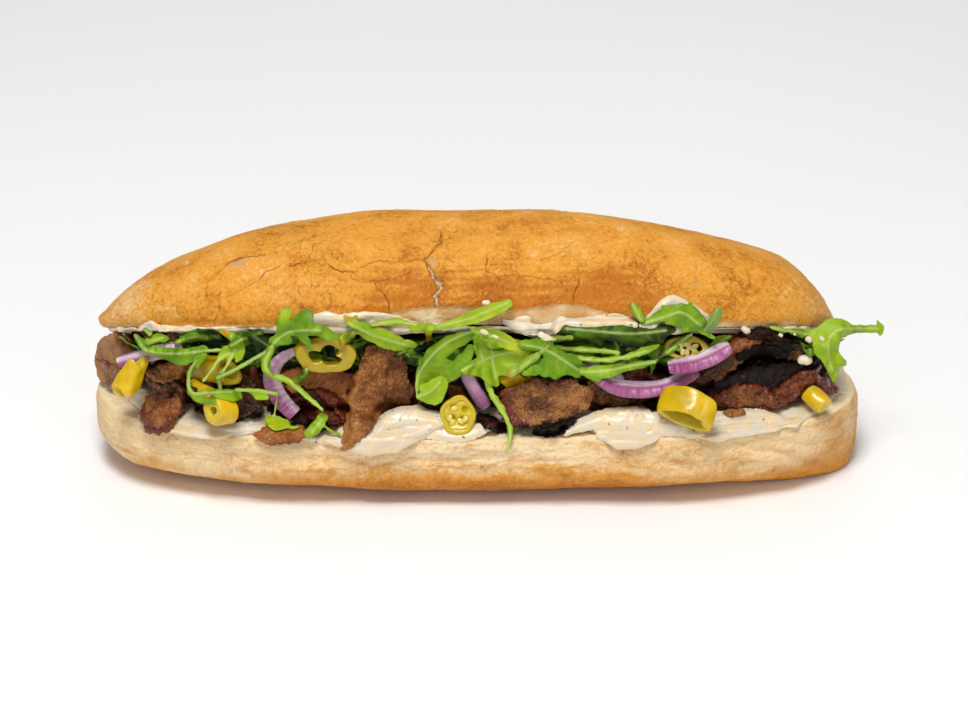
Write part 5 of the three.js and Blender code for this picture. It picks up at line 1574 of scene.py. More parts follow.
# Each strip: its line, width, turn about that line, the share of its width that is cut face, and its paleness
onions = {
    "onion_strip_01": {"path": [(-142, 36.4), (-132, 38.6), (-122, 41), (-115, 42.4)], "width": 5.8,
        "cut": 0.4, "pale": (-0.2, 1.0)},
    "onion_strip_02": {"path": [(-131, 45), (-124, 44.6), (-117, 43)], "width": 3.4, "roll": 10, "cut": 0.4,
        "pale": (0.4, 0.7)},
    "onion_strip_03": {"path": [(-70, 41.6), (-77, 37.5), (-80.6, 31.4), (-79.2, 25.4), (-76, 20.4),
            (-71.4, 16)], "width": 6.4, "roll": -8, "cut": 0.3, "pale": (1.1, 0.15), "spread": 0.6},
    "onion_strip_04": {"path": [(-4.5, 32.5), (-1, 26), (4, 18.5)], "width": 6.4, "cut": -0.25,
        "pale": (0.9, 0.3)},
    "onion_strip_05": {"path": [(47, 31), (55, 27), (65.5, 26), (75.5, 27.6), (86.6, 33.6)], "width": 7.2,
        "roll": -28, "cut": 0.46, "pale": (0.1, 0.1)},
    "onion_strip_06": {"path": [(42, 35), (50, 33.4), (57.5, 29.4)], "width": 4.6, "roll": -20, "cut": 0.7,
        "pale": (0.4, 0.3)},
    "onion_strip_07": {"path": [(75, 34.8), (87.2, 37), (99, 42.8)], "width": 7.6, "roll": -28, "cut": 0.42,
        "pale": (0.0, 0.15)},
}


def makeOnion(node, seed):
    plan = onions[node]
    stations, around, thick = onionForm["stations"], onionForm["around"], onionForm["thickness"]
    path = curveThrough(plan["path"], stations)
    along = np.gradient(path, axis=0)
    along /= np.linalg.norm(along, axis=1, keepdims=True)
    t = np.linspace(0, 1, stations)
    size = 0.6 + 0.4 * np.sin(np.pi * t) ** 0.4 + plan.get("spread", 0.0) * (t - 0.5)
    depth = blur(nodeDepth(node, path[:, 0], path[:, 1])[:, None], 6)[:, 0]
    rolled = math.radians(plan.get("roll", 25))
    turn = np.linspace(0, 2 * np.pi, around, endpoint=False)
    a = np.sign(np.cos(turn)) * np.abs(np.cos(turn)) ** 0.4 / 2
    b = np.sign(np.sin(turn)) * np.abs(np.sin(turn)) ** 0.5 / 2
    # The cut face and the skin meet in a ridge along the strip
    side = 1 if plan["cut"] > 0 else -1
    ridge = 0.5 - abs(plan["cut"])
    fromRidge = np.maximum(0, a * side - ridge)
    length = np.concatenate([[0], np.cumsum(np.linalg.norm(np.diff(path, axis=0), axis=1))])
    rows, skin, alongMark, acrossMark, pale = [], [], [], [], []
    for i in range(stations):
        wide = plan["width"] * size[i] * (1 + 0.05 * math.sin(9 * t[i] + seed))
        out = b * thick - 0.75 * fromRidge * wide * (b > 0) + 0.25 * np.cos(2 * a * np.pi) * (b > 0)
        across = a * wide * math.cos(rolled) - out * math.sin(rolled)
        lift = a * wide * math.sin(rolled) + out * math.cos(rolled)
        rows.append(np.stack([path[i, 0] - along[i, 1] * across, path[i, 1] + along[i, 0] * across,
                              depth[i] + lift], 1))
        skin.append(smooth(np.sin(turn), -0.4, 0.0) * (1 - smooth(a * side, ridge - 0.03, ridge + 0.03)))
        alongMark.append(np.full(around, length[i]))
        acrossMark.append(a * wide)
        pale.append(np.full(around, np.interp(t[i], (0.15, 0.7), plan["pale"])))
    flat, faces = closedSkin(rows)
    flat[:, 2] += 0.2 * layered(flat, 4, 2, 500 + seed)
    points = fromFace(*flat.T)
    marks = {"skin": skin, "along": alongMark, "across": acrossMark, "pale": pale}
    marks = {key: np.append(np.concatenate(values), [0.0, 0.0]) for key, values in marks.items()}
    piece = makePiece("onion_" + node[-2:], points, faces, marks)
    addToPile(points)
    return finishPiece(piece, "onion", onionMaterial, node)


# Rocket: bright leaves with pale ribs; tone goes from yellow, 0, over bright green, 0.5, to dark green, 1.
# The darkest tones are also painted shade deep in the mouth: on the bed of rocket, the leaves scattered on it
# and the leaf in the gap under the left lip.
leafLook = {"yellow": (178, 186, 8), "bright": (144, 174, 22), "mid": (96, 137, 10), "dark": (16, 44, 4),
            "rib": (192, 208, 122), "orange": (200, 124, 14), "grey": (120, 146, 90)}


def makeLeafMaterial():
    look = leafLook
    material, tree, shader = newMaterial("rocketLeaf", {
        "Subsurface Weight": 0.3, "Subsurface Radius": (0.5, 1.0, 0.15), "Subsurface Scale": 0.7 * mm,
        "Roughness": 0.46, "Specular IOR Level": 0.24})
    height, tone = grain(tree, 1.8, 0.5, 0.35, 9.0)[:2]
    shade = mark(tree, "tone") + (tone - 0.5) * 0.7
    veins = mark(tree, "vein")
    colour = shade.between(0.0, 0.35).blend(look["yellow"], look["bright"])
    colour = shade.between(0.35, 0.68).blend(colour, look["mid"])
    colour = shade.between(0.68, 1.0).blend(colour, look["dark"])
    colour = (veins * 0.12).blend(colour, look["rib"])
    colour = (mark(tree, "rib") * 0.6).blend(colour, look["rib"])
    colour = mark(tree, "grey").blend(mark(tree, "orange").blend(colour, look["orange"]), look["grey"])
    setSurface(shader, colour, None, height - veins * 0.8, 0.14)
    return material


leafMaterial = makeLeafMaterial()
leafSizes = {"cell": 0.42, "thickness": 0.36, "ribRise": 0.5, "ripple": 0.55, "rippleSize": 6.5,
             "veinStep": 3.4}

# Each leaf: its ribs and stalks, then its blades, as lines in the photograph's pixels with half widths
leaves = {
    "rocket_leaf_10": {"tone": 0.86,
        "ribs": [([(566, 329), (600, 332), (631, 334), (665, 331)], (0.5, 0.35))],
        "blades": [([(560, 330), (580, 330), (604, 331), (630, 334), (652, 334), (672, 330)],
            (2.2, 3.0, 3.6, 4.4, 3.4, 1.4)), ([(630, 338), (642, 345)], (3.6, 1.6)), ([(650, 336),
            (662, 342)], (2.6, 1.0)), ([(588, 334), (600, 345)], (2.4, 1.4))]},
    "rocket_leaf_01": {"tone": 0.56,
        "ribs": [([(134, 336), (146, 350), (173, 354), (196, 352), (221, 350)], (0.9, 0.7))],
        "blades": [([(136, 338), (150, 349), (168, 354), (186, 354), (204, 349)], (1.0, 1.9, 2.5, 2.4, 1.2)),
            ([(166, 357), (182, 361), (198, 358)], (1.0, 2.0, 1.0))]},
    "rocket_leaf_03": {"tone": 0.36,
        "ribs": [([(232, 337), (236, 346), (232, 356), (226, 368), (220, 378), (221, 390)], (0.7, 0.7)),
            ([(231, 353), (221, 358), (212, 371), (204, 381)], (0.9, 0.4))],
        "blades": [([(221, 331), (232, 336), (240, 344)], (0.8, 1.6, 1.9)), ([(238, 342), (242, 352),
            (237, 361)], (1.6, 1.5, 1.0)), ([(232, 352), (226, 352), (220, 358)], (2.2, 1.9, 1.3))],
        "orange": (226, 333)},
    "rocket_leaf_02": {"tone": 0.45,
        "ribs": [([(197, 361), (189, 373), (188, 386), (194, 394), (206, 393), (222, 392), (232, 392)],
            (0.8, 0.8)), ([(236, 390), (256, 391), (276, 394)], (0.7, 0.8))],
        "blades": [([(189, 392), (198, 399), (219, 403)], (1.0, 1.5, 0.7)), ([(214, 392), (228, 396),
            (239, 397)], (1.2, 2.2, 1.2)), ([(197, 367), (200, 359), (206, 355)], (0.8, 1.7, 0.8)),
            ([(250, 391), (258, 396), (266, 398)], (0.7, 1.6, 0.8))]},
    "rocket_leaf_04": {"tone": 0.58,
        "ribs": [([(219, 378), (239, 368), (256, 358), (270, 350), (277, 341), (289, 333), (304, 331),
            (322, 331)], (0.9, 0.7))],
        "blades": [([(293, 331), (302, 321), (309, 316)], (2.0, 2.7, 2.5)), ([(304, 331), (318, 330),
            (330, 335), (341, 338)], (2.0, 2.4, 2.2, 0.9)), ([(272, 349), (268, 358), (268, 368)],
            (1.6, 1.7, 1.3)), ([(276, 342), (282, 339), (290, 341)], (2.2, 2.4, 1.4)), ([(300, 334),
            (308, 342), (312, 348)], (1.5, 1.5, 0.8)), ([(281, 335), (284, 324), (288, 314)],
            (1.2, 2.4, 2.0))], "yellow": (287, 316)},
    "rocket_leaf_05": {"tone": 0.32,
        "ribs": [([(274, 346), (266, 363), (271, 375), (289, 381), (304, 395), (322, 410)], (0.6, 0.4))],
        "blades": [([(272, 350), (265, 364), (270, 375), (288, 381), (304, 394), (320, 408)],
            (1.3, 1.3, 1.2, 1.1, 0.9, 0.5))]},
    "rocket_leaf_06": {"tone": 0.16, "ribs": [([(277, 393), (274, 408), (272, 418)], (0.45, 0.45))],
        "blades": [([(268, 421), (275, 424), (283, 424)], (1.9, 2.8, 1.9)), ([(284, 425), (292, 428),
            (298, 427)], (1.1, 0.6, 0.4))]},
    "rocket_leaf_07": {"tone": 0.38, "ribs": [([(312, 433), (321, 420)], (0.4, 0.4))],
        "blades": [([(309, 434), (316, 427), (322, 418)], (2.0, 2.3, 2.0)), ([(322, 424), (330, 431),
            (340, 435)], (0.6, 0.5, 0.35))]},
    "rocket_leaf_08": {"tone": 0.38,
        "ribs": [([(350, 324), (372, 335), (390, 341), (412, 347)], (0.45, 0.3))],
        "blades": [([(352, 322), (366, 331), (384, 338), (402, 345), (412, 346)], (1.6, 2.9, 3.4, 3.0, 1.4)),
            ([(346, 317), (352, 323)], (0.6, 1.4)), ([(357, 317), (355, 324)], (0.7, 1.4)), ([(398, 343),
            (406, 351)], (2.0, 0.6)), ([(380, 341), (388, 349)], (1.8, 0.5)), ([(408, 344), (417, 345)],
            (1.4, 0.4))], "orange": (351, 318)},
    "rocket_leaf_09": {"tone": 0.46,
        "ribs": [([(417, 396), (417, 380), (423, 367), (439, 349), (458, 337), (476, 331)], (0.5, 0.4))],
        "blades": [([(419, 388), (423, 372), (432, 359), (447, 346), (463, 338), (478, 333)],
            (1.1, 2.6, 3.6, 3.4, 2.8, 1.4)), ([(428, 376), (444, 374), (460, 370)], (3.0, 3.8, 2.4)),
            ([(456, 370), (466, 358), (471, 349)], (2.6, 2.9, 1.6)), ([(432, 366), (446, 366)], (3.6, 2.8))],
        "cup": -0.07},
    "rocket_leaf_11": {"tone": 0.3, "ribs": [([(418, 397), (430, 392), (440, 382)], (0.4, 0.35))],
        "blades": [([(420, 397), (434, 401), (438, 398)], (1.2, 1.7, 1.6)), ([(425, 389), (434, 390),
            (442, 382)], (2.2, 4.2, 2.4)), ([(436, 398), (442, 385)], (2.4, 2.0))]},
    "rocket_stalk_01": {"tone": 0.3,
        "ribs": [([(485, 371), (488, 384), (493, 396), (506, 418), (510, 428)], (1.3, 0.8)), ([(510, 428),
            (510, 440), (507, 452)], (1.0, 0.5))], "blades": [([(496, 399), (503, 411)], (1.0, 0.9))]},
    "rocket_leaf_12": {"tone": 0.37,
        "ribs": [([(462, 371), (474, 365), (498, 355), (528, 350)], (0.5, 0.6)), ([(480, 350), (484, 362)],
            (0.35, 0.3)), ([(488, 340), (494, 356)], (0.35, 0.3)), ([(492, 358), (496, 378)], (0.35, 0.3))],
        "blades": [([(466, 371), (478, 368), (494, 362), (512, 357), (528, 351)], (1.6, 4.0, 5.2, 5.0, 2.6)),
            ([(477, 338), (480, 350), (486, 358)], (1.6, 2.0, 2.6)), ([(489, 337), (496, 346), (502, 354)],
            (2.5, 3.4, 4.0)), ([(500, 342), (512, 348), (522, 352)], (2.2, 3.6, 3.2)), ([(486, 370),
            (493, 379), (496, 384)], (3.4, 3.2, 1.4)), ([(500, 366), (507, 371), (512, 373)],
            (3.6, 2.4, 1.2)), ([(518, 346), (521, 349)], (2.4, 1.6))], "yellow": (519, 347), "cup": 0.05},
    "rocket_leaf_13": {"tone": 0.2,
        "ribs": [([(430, 329), (450, 324), (470, 319), (490, 311), (507, 304)], (0.5, 0.35))],
        "blades": [([(430, 329), (450, 325), (470, 319), (486, 313), (500, 308), (509, 304)],
            (0.8, 1.4, 2.1, 2.7, 2.6, 1.7))], "cup": 0.1},
    "rocket_leaf_14": {"tone": 0.3, "ribs": [([(474, 331), (494, 337), (516, 346)], (0.5, 0.4))],
        "blades": [([(474, 331), (488, 335), (502, 340), (516, 347)], (1.4, 2.6, 3.0, 1.8))],
        "yellow": (513, 346)},
    "rocket_stalk_02": {"tone": 0.3,
        "ribs": [([(556, 348), (584, 350), (606, 351), (618, 353)], (1.2, 0.9)), ([(574, 358), (606, 360),
            (631, 356), (646, 351)], (1.2, 0.8))],
        "blades": [([(628, 357), (642, 352), (658, 346)], (0.9, 1.5, 0.8))]},
    "rocket_leaf_15": {"tone": 0.56,
        "ribs": [([(523, 345), (546, 350), (566, 362), (581, 372)], (0.45, 0.35)), ([(536, 357), (548, 346)],
            (0.35, 0.3))],
        "blades": [([(524, 346), (538, 345), (550, 344)], (2.2, 2.6, 1.6)), ([(540, 345), (552, 354),
            (566, 364), (578, 371)], (1.8, 3.2, 4.0, 2.6)), ([(526, 371), (536, 368), (545, 364)],
            (2.0, 3.0, 2.4)), ([(556, 373), (562, 366)], (2.6, 3.0)), ([(545, 372), (552, 364)], (2.2, 3.0)),
            ([(570, 360), (578, 366)], (2.4, 2.2))], "cup": 0.06},
    "rocket_stalk_03": {"tone": 0.24, "ribs": [([(511, 374), (524, 365), (537, 356)], (1.7, 1.4))],
        "blades": [], "grey": 0.25, "orange": (509, 376)},
    "rocket_leaf_16": {"tone": 0.46, "ribs": [([(582, 372), (606, 371), (631, 366), (655, 362)], (0.6, 0.4))],
        "blades": [([(582, 371), (594, 373), (606, 372), (620, 369), (640, 365), (655, 362)],
            (1.4, 3.0, 2.4, 1.6, 1.5, 0.7)), ([(592, 374), (599, 381)], (2.4, 0.8))]},
    "rocket_leaf_17": {"tone": 0.48,
        "ribs": [([(645, 323), (665, 317), (681, 313), (700, 326)], (0.5, 0.35))],
        "blades": [([(645, 323), (655, 318), (668, 315), (680, 314)], (0.7, 2.0, 3.0, 3.8)), ([(661, 307),
            (670, 312)], (0.6, 2.0)), ([(689, 304), (690, 312), (694, 320)], (0.6, 2.5, 3.6)), ([(667, 323),
            (680, 321), (694, 323), (705, 322)], (0.8, 2.7, 3.4, 0.9)), ([(682, 332), (690, 325)],
            (0.7, 2.4)), ([(694, 322), (704, 332), (713, 338)], (2.2, 1.5, 0.6)), ([(680, 305), (684, 311)],
            (0.5, 1.6))]},
    "rocket_leaf_18": {"tone": 0.6, "ribs": [([(716, 309), (712, 320), (704, 331)], (0.35, 0.35))],
        "blades": [([(717, 311), (713, 321), (706, 330)], (1.5, 2.1, 1.2))], "grey": 0.55},
    "rocket_leaf_19": {"tone": 0.3,
        "ribs": [([(888, 328), (866, 328), (846, 329), (835, 336), (832, 350), (838, 372)], (0.9, 0.5))],
        "blades": [([(890, 327), (878, 328), (866, 328), (850, 330)], (1.5, 1.5, 1.6, 2.6)), ([(888, 320),
            (892, 327), (891, 334)], (0.5, 0.9, 0.8)), ([(849, 327), (838, 330), (829, 340), (825, 350)],
            (3.0, 5.0, 5.0, 3.0)), ([(833, 340), (834, 354), (838, 367), (840, 379)], (5.0, 4.4, 2.9, 1.3)),
            ([(838, 356), (849, 363)], (2.8, 1.5)), ([(827, 336), (812, 333), (798, 331), (785, 328)],
            (2.8, 1.7, 1.2, 0.6))], "cup": 0.02},
}
# Leaves and stems too small for a solid of their own
smallLeaves = {
    # A dark leaf that closes a gap under the left lip: its dark tone is painted shade.
    "rocket_small_gap": {"tone": 0.85, "ribs": [([(184, 337), (200, 335), (216, 337)], (0.3, 0.3))],
        "blades": [([(182, 338), (198, 335), (216, 337)], (1.6, 2.4, 1.6))]},
    "rocket_small_01": {"tone": 0.5, "ribs": [([(632, 305), (640, 320)], (0.4, 0.4))],
        "blades": [([(632, 305), (636, 312), (641, 320)], (1.1, 1.9, 1.3))]},
    "rocket_small_02": {"tone": 0.7, "ribs": [([(691, 335), (672, 349), (658, 360)], (0.6, 0.5))],
        "blades": [([(688, 337), (676, 346), (664, 355)], (0.8, 1.6, 0.7))]},
    "rocket_small_03": {"tone": 0.34, "ribs": [([(374, 325), (396, 322), (416, 325)], (0.35, 0.35))],
        "blades": [([(372, 325), (394, 322), (418, 325)], (0.6, 1.6, 0.6)), ([(412, 330), (424, 327),
            (432, 328)], (0.7, 1.7, 1.2)), ([(430, 328), (428, 338)], (1.7, 1.0))], "orange": (427, 338)},
    "rocket_small_04": {"tone": 0.74, "ribs": [([(232, 346), (246, 338), (260, 333)], (0.4, 0.4))],
        "blades": [([(232, 346), (246, 338), (260, 333)], (1.2, 2.6, 1.2))]},
    "rocket_small_05": {"tone": 0.2, "ribs": [([(342, 344), (354, 334)], (0.35, 0.35))],
        "blades": [([(342, 344), (347, 338), (354, 334)], (0.8, 2.0, 0.9))], "orange": (341, 344)},
    "rocket_small_06": {"tone": 0.5, "ribs": [([(150, 341), (162, 338)], (0.35, 0.35))],
        "blades": [([(149, 341), (157, 338), (165, 339)], (1.6, 2.0, 1.2))]},
    "rocket_small_07": {"tone": 0.5, "ribs": [([(772, 327), (790, 331), (812, 334)], (0.5, 0.4))],
        "blades": [([(776, 328), (786, 331)], (0.5, 1.0)), ([(796, 331), (806, 334)], (1.1, 1.6))]},
    "rocket_small_08": {"tone": 0.55, "ribs": [([(300, 378), (306, 373), (308, 369)], (0.35, 0.35))],
        "blades": [([(296, 380), (304, 375), (307, 370)], (0.9, 1.7, 0.9))]},
    "rocket_small_09": {"tone": 0.66, "ribs": [([(178, 342), (194, 337), (206, 338)], (0.4, 0.35))],
        "blades": [([(176, 343), (192, 337), (208, 338)], (0.8, 1.9, 0.8))]},
    "rocket_small_10": {"tone": 0.3, "ribs": [([(543, 338), (556, 339), (571, 338)], (1.1, 1.0))],
        "blades": []},
    "rocket_small_11": {"tone": 0.58, "ribs": [([(406, 354), (414, 361)], (0.35, 0.3))],
        "blades": [([(412, 354), (418, 360)], (1.6, 2.0))]},
    "rocket_small_12": {"tone": 0.55, "ribs": [([(143, 330), (149, 334)], (0.35, 0.3))],
        "blades": [([(143, 329), (148, 334)], (0.6, 0.9))]},
}


def makeLeaf(name, plan, seed, node=None, kind=False):
    part = leafSizes
    lines = plan["ribs"] + plan["blades"]
    x, v, field = drawField(lines, 0.8 if kind else part["cell"])
    field = field + 0.34 * faceNoise(x, v, 3.4, 3, 600 + seed)
    ribAway = distanceTo(plan["ribs"], x, v)
    if kind:
        base = 0 * x
    elif node:
        base = nodeDepth(node, x, v)
    else:
        base = blur(np.where(isLaid(pileDepth(x, v)), pileDepth(x, v), 50.0), 12) + 0.6
    edgeIn = np.clip(-field, 0, 4)
    ripple = part["ripple"] * faceNoise(x, v, part["rippleSize"], 2, 620 + seed)
    curl = 0.8 * faceNoise(x, v, 4.2, 1, 640 + seed) * np.exp(-edgeIn / 1.2)
    base = base + ripple + curl + plan.get("cup", 0.0) * np.minimum(ribAway, 7) ** 2
    if not kind:
        raised = np.maximum(0, pileDepth(x, v) + 0.45 - base)
        base = base + np.minimum(blur(widened(np.minimum(raised, 6)), 5), 6)
    ribbed = bell(ribAway, 0.75)
    thick = part["thickness"] * (0.6 + 0.4 * smooth(edgeIn, 0, 0.8)) + part["ribRise"] * ribbed
    main = curveThrough(spot(plan["ribs"][0][0]), 40)
    along = lineDistance(x.ravel(), v.ravel(), main)[1].reshape(x.shape)
    length = np.linalg.norm(np.diff(main, axis=0), axis=1).sum()
    phase = (along * length - 0.8 * ribAway) / part["veinStep"] + 0.3 * faceNoise(x, v, 3, 1, 660 + seed)
    vein = (0.5 + 0.5 * np.cos(2 * np.pi * phase)) ** 8
    vein = vein * smooth(edgeIn, 0.2, 1.2) * smooth(ribAway, 0.3, 1.0)
    vein = vein * smooth(faceNoise(x, v, 7, 1, 670 + seed), -0.3, 0.3)
    yellow, orange = np.zeros(x.shape), np.zeros(x.shape)
    if "yellow" in plan:
        centre = spot(plan["yellow"])[0]
        yellow = bell(np.hypot(x - centre[0], v - centre[1]), 3.6)
    if "orange" in plan:
        centre = spot(plan["orange"])[0]
        orange = 0.9 * bell(np.hypot(x - centre[0], v - centre[1]), 1.5)
        orange += 0.5 * smooth(0.5 - edgeIn, 0, 0.5) * smooth(faceNoise(x, v, 5, 1, 680 + seed), 0, 0.3)
    tone = plan["tone"] - 0.3 * yellow + 0.1 * np.exp(-edgeIn) + 0.12 * ripple
    marks = {"tone": np.clip(tone, 0.02, 1), "rib": smooth(0.7 - ribAway, 0, 0.5), "vein": vein,
             "orange": np.clip(orange, 0, 1), "grey": np.full(x.shape, plan.get("grey", 0.0))}
    piece, front = fieldPiece(name, x, v, field, base + thick / 2, base - thick / 2, marks)
    if kind:
        return asKind(piece)
    addToPile(front)
    slot = "rocket_dark" if plan["tone"] > 0.72 else ("rocket_pale" if plan["tone"] < 0.35 else "rocket")
    return finishPiece(piece, slot, leafMaterial, *([node] if node else []))


# Geometry Nodes: scatters a collection's shapes over a guide's faces, turned and sized at random
def makeScatterGroup():
    group = bpy.data.node_groups.new("foodScatter", "GeometryNodeTree")
    group.interface.new_socket(name="Geometry", in_out="INPUT", socket_type="NodeSocketGeometry")
    for name, kind, value in (("Kinds", "Collection", None), ("Spacing", "Float", 0.008),
                              ("Smallest", "Float", 0.7), ("Largest", "Float", 1.0), ("Tilt", "Float", 0.3),
                              ("Seed", "Int", 1), ("Material", "Material", None)):
        socket = group.interface.new_socket(name=name, in_out="INPUT", socket_type="NodeSocket" + kind)
        if value is not None:
            socket.default_value = value
    group.interface.new_socket(name="Geometry", in_out="OUTPUT", socket_type="NodeSocketGeometry")
    inside = addNode(group, "NodeGroupInput").outputs
    mesh, seed = inside["Geometry"], inside["Seed"]
    places = addNode(group, "GeometryNodeDistributePointsOnFaces", {
        "Mesh": mesh, "Distance Min": inside["Spacing"], "Density Max": 1e7, "Seed": seed},
        distribute_method="POISSON")
    lean = Value(inside["Tilt"]) * -1.0
    low = addNode(group, "ShaderNodeCombineXYZ", {0: lean, 1: lean, 2: 0.0})
    high = addNode(group, "ShaderNodeCombineXYZ", {0: inside["Tilt"], 1: inside["Tilt"], 2: 2 * math.pi})
    turn = addNode(group, "FunctionNodeRandomValue", {0: low.outputs[0], 1: high.outputs[0], "Seed": seed},
                   data_type="FLOAT_VECTOR")
    spin = addNode(group, "FunctionNodeEulerToRotation", {0: turn.outputs[0]})
    turned = addNode(group, "FunctionNodeRotateRotation", {0: places.outputs["Rotation"], 1: spin.outputs[0]},
                     rotation_space="LOCAL")
    sizes = {2: inside["Smallest"], 3: inside["Largest"], "Seed": seed}
    size = addNode(group, "FunctionNodeRandomValue", sizes, data_type="FLOAT")
    kinds = addNode(group, "GeometryNodeCollectionInfo", {0: inside["Kinds"], 1: True, 2: True})
    laid = addNode(group, "GeometryNodeInstanceOnPoints", {
        "Points": places.outputs["Points"], "Instance": kinds.outputs[0], "Pick Instance": True,
        "Rotation": turned.outputs[0], "Scale": size.outputs[1]})
    real = addNode(group, "GeometryNodeRealizeInstances", {0: laid.outputs[0]})
    painted = addNode(group, "GeometryNodeSetMaterial", {"Geometry": real.outputs[0],
                                                         "Material": inside["Material"]})
    outside = addNode(group, "NodeGroupOutput")
    group.links.new(painted.outputs[0], outside.inputs[0])
    return group


scatterGroup = makeScatterGroup()


# One piece made of many copies: kinds are loose objects, values fill the group's named inputs
def scatter(name, points, faces, kinds, slot, material, nodes=(), **values):
    holder = makePiece(name, points, faces)
    collection = bpy.data.collections.new(name)
    for kind in kinds:
        collection.objects.link(kind)
    modifier = holder.modifiers.new("scatter", "NODES")
    modifier.node_group = scatterGroup
    sockets = [item for item in scatterGroup.interface.items_tree if item.in_out == "INPUT"]
    identifiers = {item.name: item.identifier for item in sockets}
    for key, value in {"Kinds": collection, "Material": material, **values}.items():
        modifier[identifiers[key]] = value
    bpy.context.view_layer.update()
    mesh = bpy.data.meshes.new_from_object(holder.evaluated_get(bpy.context.evaluated_depsgraph_get()))
    holder.modifiers.clear()
    holder.data = mesh
    for kind in kinds:
        bpy.data.objects.remove(kind)
    bpy.data.collections.remove(collection)
    return finishPiece(holder, slot, material, *nodes)


# The beds behind: a core of each, with real slices and leaves lying over its open sides
def makeCore(name, node, slot, material, relief, marks):
    points, normals, faces = refined(node, 1, 1.1)
    points = points + normals * (relief * layered(points, (9, 7, 4), 3, 700) - 0.5 * relief)[:, None]
    piece = makePiece(name, points, faces, {key: np.full(len(points), value) for key, value in marks.items()})
    addToPile(points)
    finishPiece(piece, slot, material, node)
    openSide = (towardsMouth(normals) > 0.15) | (np.abs(normals[:, 0]) > 0.6)
    return points, [face for face in faces if openSide[face].all()]


# How far right beef is scattered, the stretch with no rocket, and which leaves are scattered in which tone:
# their dark tones are painted shade deep in the mouth
bedLimits = {"beefEnd": 133, "bareRocket": (94, 124)}
bedLeaves = {"12": 0.62, "15": 0.8, "17": 0.7, "10": 0.9, "16": 0.55, "09": 0.75}


def makeBeefBed():
    # The core and the scraps scattered on it are dark brown with burnt colour: painted shade in the depth of
    # the mouth behind the slices.
    points, faces = makeCore("beef_core", "meat_bed", "meat", meatMaterial, 1.6,
                             {"tone": 1.0, "red": 0.1, "char": 0.55, "orange": 0})
    shapes = [([([(0, 0), (22, 6), (44, 2)], (3.5, 5.5, 3.0))], (0.75, 0.5, 0.3), 2.4),
              ([([(0, 0), (18, -8), (34, 4)], (3.0, 4.6, 4.0))], (0.95, 0.2, 0.6), 2.0),
              ([([(0, 0), (30, 3)], (4.5, 3.0)), ([(12, 0), (20, 14)], (3.0, 2.0))], (0.55, 0.3, 0.2), 2.2),
              ([([(0, 0), (26, 10), (50, 6)], (2.0, 4.0, 2.4))], (0.85, 0.7, 0.4), 1.8)]
    faces = [face for face in faces if points[face, 0].max() < bedLimits["beefEnd"]]
    kinds = [makeScrap("beef_kind_%d" % i, *shape, seed=440 + i, kind=True) for i, shape in enumerate(shapes)]
    scatter("beef_pieces", points, faces, kinds, "meat", meatMaterial, ["meat_bed"],
            Spacing=9.0 * mm, Smallest=0.7, Largest=1.05, Tilt=0.3, Seed=5)


def makeRocketBed():
    # The core is the darkest green: painted shade behind the front leaves.
    points, faces = makeCore("rocket_core", "rocket_bed", "rocket_dark", leafMaterial, 1.4,
                             {"tone": 1.0, "rib": 0, "vein": 0, "orange": 0, "grey": 0})
    low, high = bedLimits["bareRocket"]
    bare = (points[:, 0] > low) & (points[:, 0] < high)
    faces = [face for face in faces if not bare[face].any()]
    kinds = []
    for i, (source, tone) in enumerate(bedLeaves.items()):
        plan = dict(leaves["rocket_leaf_" + source], tone=tone, yellow=(0, 0))
        kinds.append(makeLeaf("rocket_kind_%d" % i, plan, 450 + i, kind=True))
    scatter("rocket_leaves", points, faces, kinds, "rocket_dark", leafMaterial, ["rocket_bed"],
            Spacing=8.0 * mm, Smallest=0.5, Largest=0.85, Tilt=0.35, Seed=3)


# Bits of herb and crumbs on the sauce: their colours, their sizes, and how far apart the herbs lie where
bits = {
    "herb": (92, 96, 48),
    "toast": (228, 176, 112),
    "herbSizes": ((0.62, 0.3, 0.14), (0.4, 0.34, 0.12)),
    "toastSizes": ((0.95, 0.6, 0.2), (0.6, 0.5, 0.18)),
    "herbs": {"sauce_mound_middle": 6.0, "sauce_mound_right": 7.0, "sauce_mound_left": 7.0,
              "sauce_lip_middle": 11.0, "sauce_mound_low": 5.5},
}


def makeBit(name, size, seed):
    points, faces = pebble(size, 6, 9, 0.95)
    points = points * (1 + 0.5 * noise(points + seed, 0.6 * size[0], seed)[:, None])
    piece = makePiece(name, points, faces)
    bpy.context.scene.collection.objects.unlink(piece)
    return piece


def makeBitMaterial(name, colour):
    material, tree, shader = newMaterial(name, {"Roughness": 0.6, "Specular IOR Level": 0.3})
    height, tone = grain(tree, 0.8, 0.3, 0.4, 4.0)[:2]
    lighter = tuple(min(255, 1.25 * share + 10) for share in colour)
    setSurface(shader, tone.blend(colour, lighter), None, height, 0.1)
    return material


# The points of a piece, and those of its faces that look out of the mouth
def facesOutwards(name):
    mesh = bpy.data.objects[name].data
    kept = towardsMouth(vertexRows(mesh, "normal")) > 0.3
    faces = [list(polygon.vertices) for polygon in mesh.polygons]
    return vertexRows(mesh) / mm, [face for face in faces if kept[face].all()]


def makeBits():
    herb = makeBitMaterial("herbFlake", bits["herb"])
    toast = makeBitMaterial("toastedCrumb", bits["toast"])
    for seed, (place, spacing) in enumerate(bits["herbs"].items(), 1):
        points, faces = facesOutwards(place)
        kinds = [makeBit("herb_%d" % i, size, i) for i, size in enumerate(bits["herbSizes"])]
        scatter("herb_flakes_%d" % seed, points, faces, kinds, "sauce", herb, Spacing=spacing * mm,
                Smallest=0.5, Largest=1.25, Tilt=0.2, Seed=seed)
    points, faces = facesOutwards("sauce_mound_right")
    kinds = [makeBit("toast_%d" % i, size, 9 + i) for i, size in enumerate(bits["toastSizes"])]
    scatter("crumbs_on_sauce", points, faces, kinds, "bread", toast, Spacing=6.5 * mm, Smallest=0.35,
            Largest=1.3, Tilt=0.15, Seed=6)


